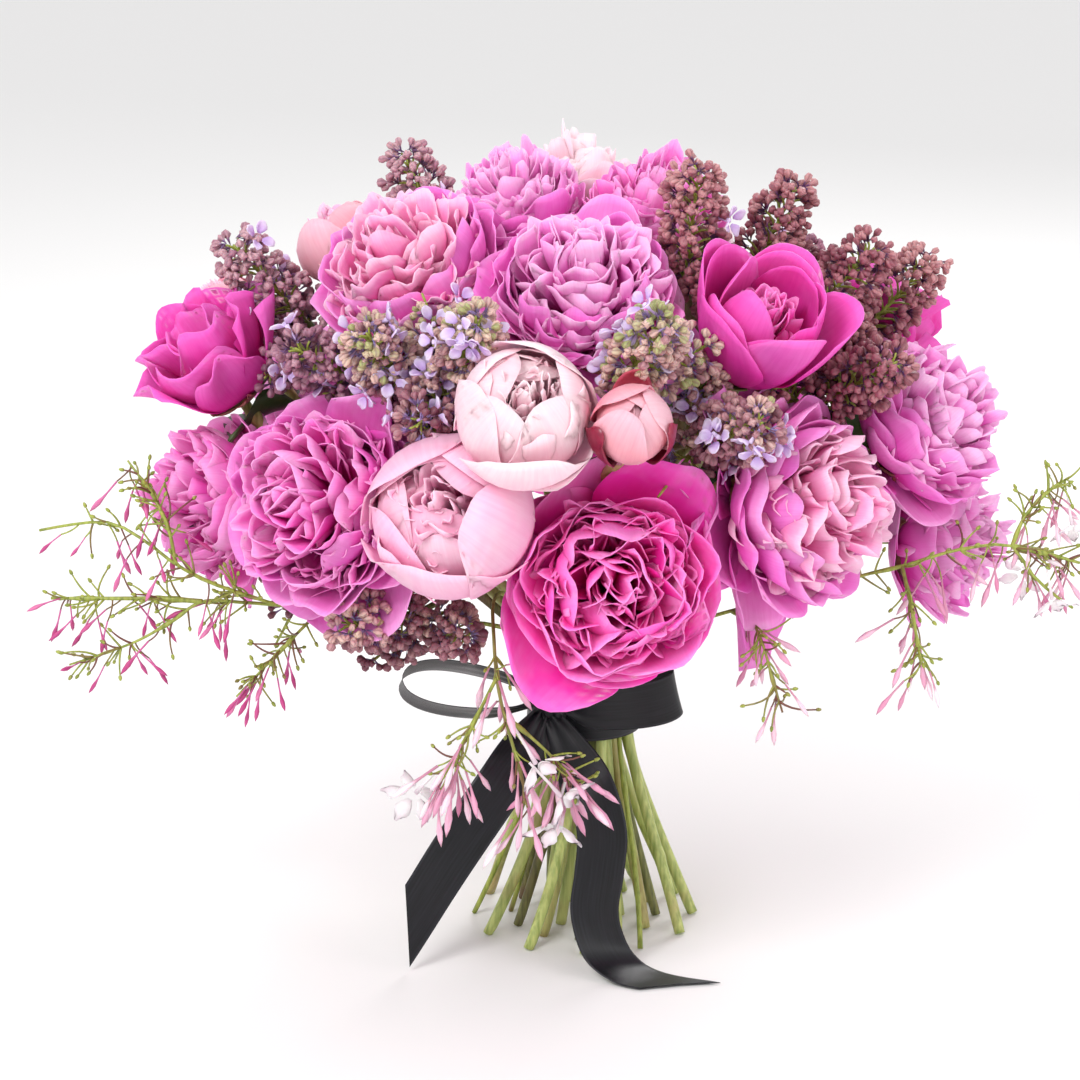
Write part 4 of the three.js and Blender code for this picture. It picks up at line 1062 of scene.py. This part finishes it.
# The wrap: a profile of the waist, carried round the stems, with three slack folds along it.
v, turn = np.meshgrid(np.linspace(0, 1, 17), np.linspace(0, TAU, 120, endpoint=False))
fold = 0.5 * MM * np.abs(np.sin(np.pi * (3 * v + 0.25 * np.sin(2 * turn) + 0.1 * np.sin(5 * turn))))
z = low[2] + ribbon_width * v
r = np.interp(z, heights, reaches) - 0.7 * MM + fold
profile = np.concatenate([np.stack([r, z], -1), np.stack([r - SATIN_THICKNESS, z], -1)[:, ::-1]], 1)
r, z = profile[..., 0], profile[..., 1]
points = np.stack([r * np.cos(turn[:, :1]), r * np.sin(turn[:, :1]), z], -1)
i = np.arange(points[..., 0].size).reshape(points.shape[:2])
j = np.roll(i, -1, axis=0)
faces = np.stack([i, j, np.roll(j, -1, axis=1), np.roll(i, -1, axis=1)], -1).reshape(-1, 4)
uv = np.stack([(z - low[2] - ribbon_width / 2) / MM, turn[:, :1] * r / MM], -1)
wrap = piece("ribbon_wrap_satin", [plain(points, [faces], uv)], SATIN, ["ribbon_wrap"])


def walls_of(node, middle, clear):
    """The edges of the ribbons of a CAD node, as chains of points. A ribbon's two faces are so close
    that their points join up in pairs, and a face of its narrow side then has only two points."""
    points, tri = weld(node)
    label, places, _ = joined_up(points, 2 * MM)
    near = np.linalg.norm(places - middle, axis=1) < clear
    pairs = {tuple(sorted(set(t))) for t in label[tri].tolist() if len(set(t)) == 2}
    joins = {}
    for a, b in pairs:
        if not (near[a] or near[b]):
            joins.setdefault(a, []).append(b)
            joins.setdefault(b, []).append(a)
    left, chains = set(joins), []
    while left:
        chain = [min(left, key=lambda k: (len(joins[k]) != 1, k))]
        left.remove(chain[0])
        while onward := [k for k in joins[chain[-1]] if k in left]:
            chain.append(onward[0])
            left.remove(onward[0])
        chains.append(places[chain])
    return chains


def satin(name, one, other, gather, both_ends, pleats, wave, nodes):
    """A ribbon between its two edges. Where it is gathered at the knot, at its first end or at both,
    it is pleated: lifted along its normal by pleats * sin(5 pi u) * exp(-distance / gather).
    Elsewhere it lies in a slight wave, wave * sin(along / 13 mm), and curls up at its edges."""
    k, cols = 72, 21
    a, b = through(one, k), through(other, k)
    u = np.linspace(0, 1, cols)[None, :, None]
    grid = a[:, None] * (1 - u) + b[:, None] * u
    middle = (a + b) / 2
    along = np.concatenate([[0], np.linalg.norm(np.diff(middle, axis=0), axis=1).cumsum()])
    normal = unit(np.cross(b - a, np.gradient(middle, axis=0)))[:, None]
    distance = np.minimum(along, along[-1] - along if both_ends else along)[:, None, None]
    pleat = pleats * np.sin(5 * np.pi * u) * np.exp(-distance / gather)
    curl = wave * np.sin(along / (13 * MM))[:, None, None] + 0.5 * MM * (2 * u - 1) ** 2
    ease = 1 - np.exp(-distance / (12 * MM))
    grid = grid + normal * (pleat + curl * ease)
    uv = np.stack([np.broadcast_to((u[..., 0] - 0.5) * ribbon_width / MM, (k, cols)),
                   np.broadcast_to(along[:, None] / MM, (k, cols))], -1)
    sheet = thin(grid[None], SATIN_THICKNESS, [0.5], np.zeros((1, k, cols)), uv)
    obj = piece(name, [sheet], SATIN, nodes)


points, _ = weld("ribbon_bow")
_, places, count = joined_up(points, 2 * MM)
core = places[(count == 1) & (np.hypot(*places[:, :2].T) < reaches.max() + 16 * MM)]
knot = (core.min(0) + core.max(0)) / 2
outward = unit(knot * [1, 1, 0])
sideways = np.cross([0, 0, 1.0], outward)

# The knot: a ribbon drawn tight round the bow's middle. Its section is a squared oval, and it is
# creased along by 0.6 mm * sin(9 t) and narrows towards its two ends.
t, turn = np.meshgrid(np.linspace(-1, 1, 17), np.linspace(0, TAU, 32, endpoint=False), indexing="ij")
c, s = np.cos(turn), np.sin(turn)
square = (np.abs(c) ** 2.6 + np.abs(s) ** 2.6) ** (-1 / 2.6)
crease = 1 + 0.07 * np.sin(9 * t + 0.5 * np.sin(turn)) - 0.22 * t**4
deep, tall, across = 6.5 * MM, 12 * MM, 11.5 * MM
points = (knot + sideways * (across * t)[..., None] + outward * (deep * square * crease * c)[..., None]
          + [0, 0, 1.0] * (tall * square * crease * s)[..., None])
n = points[..., 0].size
faces = [grid_faces(17, 32, wrap=True), np.arange(32)[None, ::-1], np.arange(n - 32, n)[None]]
# Its satin is drawn to scale: 12 mm along to either side, and 9 mm to a radian round it.
piece("ribbon_knot", [plain(points, faces, np.stack([t * 12, turn * 9], -1))], SATIN)

chains = walls_of("ribbon_bow", knot, 21 * MM)
chains = sorted((c for c in chains if len(c) > 6), key=lambda c: c[:, 0].mean())
for name, (one, other) in {"left": chains[:2], "right": chains[2:]}.items():
    if np.linalg.norm(one[0] - other[0]) > np.linalg.norm(one[0] - other[-1]):
        other = other[::-1]
    ends = [knot + unit((one[e] + other[e]) / 2 - knot) * 5 * MM for e in (0, -1)]
    tuck = [unit(one[e] - other[e]) * 3 * MM for e in (0, -1)]
    one = np.concatenate([[ends[0] + tuck[0]], one, [ends[1] + tuck[1]]])
    other = np.concatenate([[ends[0] - tuck[0]], other, [ends[1] - tuck[1]]])
    satin(f"ribbon_loop_{name}", one, other, gather=16 * MM, both_ends=True, pleats=2.2 * MM, wave=0.5 * MM,
          nodes=["ribbon_bow"] if name == "left" else [])

for name in ("left", "right"):
    (rim,) = walls_of(f"ribbon_tail_{name}", knot, 0)
    half = len(rim) // 2
    # The rim is split into two edges where they lie most nearly the ribbon's width apart.
    splits = [np.roll(rim, shift, axis=0) for shift in range(len(rim))]
    splits = [(r[:half], r[half:][::-1]) for r in splits]
    misfit = [np.abs(np.linalg.norm(a - b, axis=1) - ribbon_width).sum() for a, b in splits]
    one, other = splits[int(np.argmin(misfit))]
    if one[0, 2] < one[-1, 2]:
        one, other = one[::-1], other[::-1]
    start = knot + [0, 0, -6 * MM] + outward * 3 * MM
    tuck = unit(one[0] - other[0]) * 5 * MM
    one, other = np.concatenate([[start + tuck], one]), np.concatenate([[start - tuck], other])
    satin(f"ribbon_tail_{name}_satin", one, other, gather=14 * MM, both_ends=False, pleats=1.6 * MM,
          wave=0.7 * MM, nodes=[f"ribbon_tail_{name}"])


# ------------------------------------------------------------------ floor, light and camera


floor_material, _ = new_material("studio_floor_pale_matt")
floor = bpy.data.meshes.new("studio_floor")
half, z = 12.0, -0.5 * MM
corners = [(x * half, y * half, z) for x, y in ((-1, -1), (1, -1), (1, 1), (-1, 1))]
floor.from_pydata(corners, [], [(0, 1, 2, 3)])
floor.materials.append(finished(floor_material, "#efeeed", 0.8))
linked("studio_floor", floor)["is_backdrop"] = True

world = bpy.data.worlds.new("studio")
world.use_nodes = True
world.node_tree.nodes["Background"].inputs[0].default_value = to_linear("#eeeeef")
world.node_tree.nodes["Background"].inputs[1].default_value = 1.06
bpy.context.scene.world = world
bpy.context.scene.view_settings.view_transform = "Standard"


def aimed(obj, place, way):
    """Puts a lamp or the camera in its place, looking along way."""
    obj.location = place
    obj.rotation_mode = "QUATERNION"
    obj.rotation_quaternion = way.to_track_quat("-Z", "Y")
    return obj


def lamp(name, place, aim, size, power):
    light = bpy.data.lights.new(name, "AREA")
    light.shape = "DISK"
    light.size = size
    light.energy = power
    aimed(linked(name, light), place, Vector(aim) - Vector(place))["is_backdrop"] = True


centre = (size_at_start[0] + size_at_start[1]) / 2
lamp("key", (-0.9, -1.6, 1.7), centre, 0.9, 28)
lamp("fill", (1.7, -1.2, 0.8), centre, 1.2, 8)
lamp("rim", (0.6, 1.6, 1.5), centre, 0.8, 16)

elevation, distance = np.radians(16), 2.2
aim = Vector((-0.027, 0, 0.242))
back = Vector((0, -np.cos(elevation), np.sin(elevation)))
camera = aimed(linked("camera", bpy.data.cameras.new("camera")), aim + back * distance, -back)
bpy.context.scene.camera = camera
camera.data.sensor_width = 36
camera.data.lens = 121
camera.data.clip_end = 50

[[list(p) for p in pair] for pair in (size_at_start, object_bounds())]
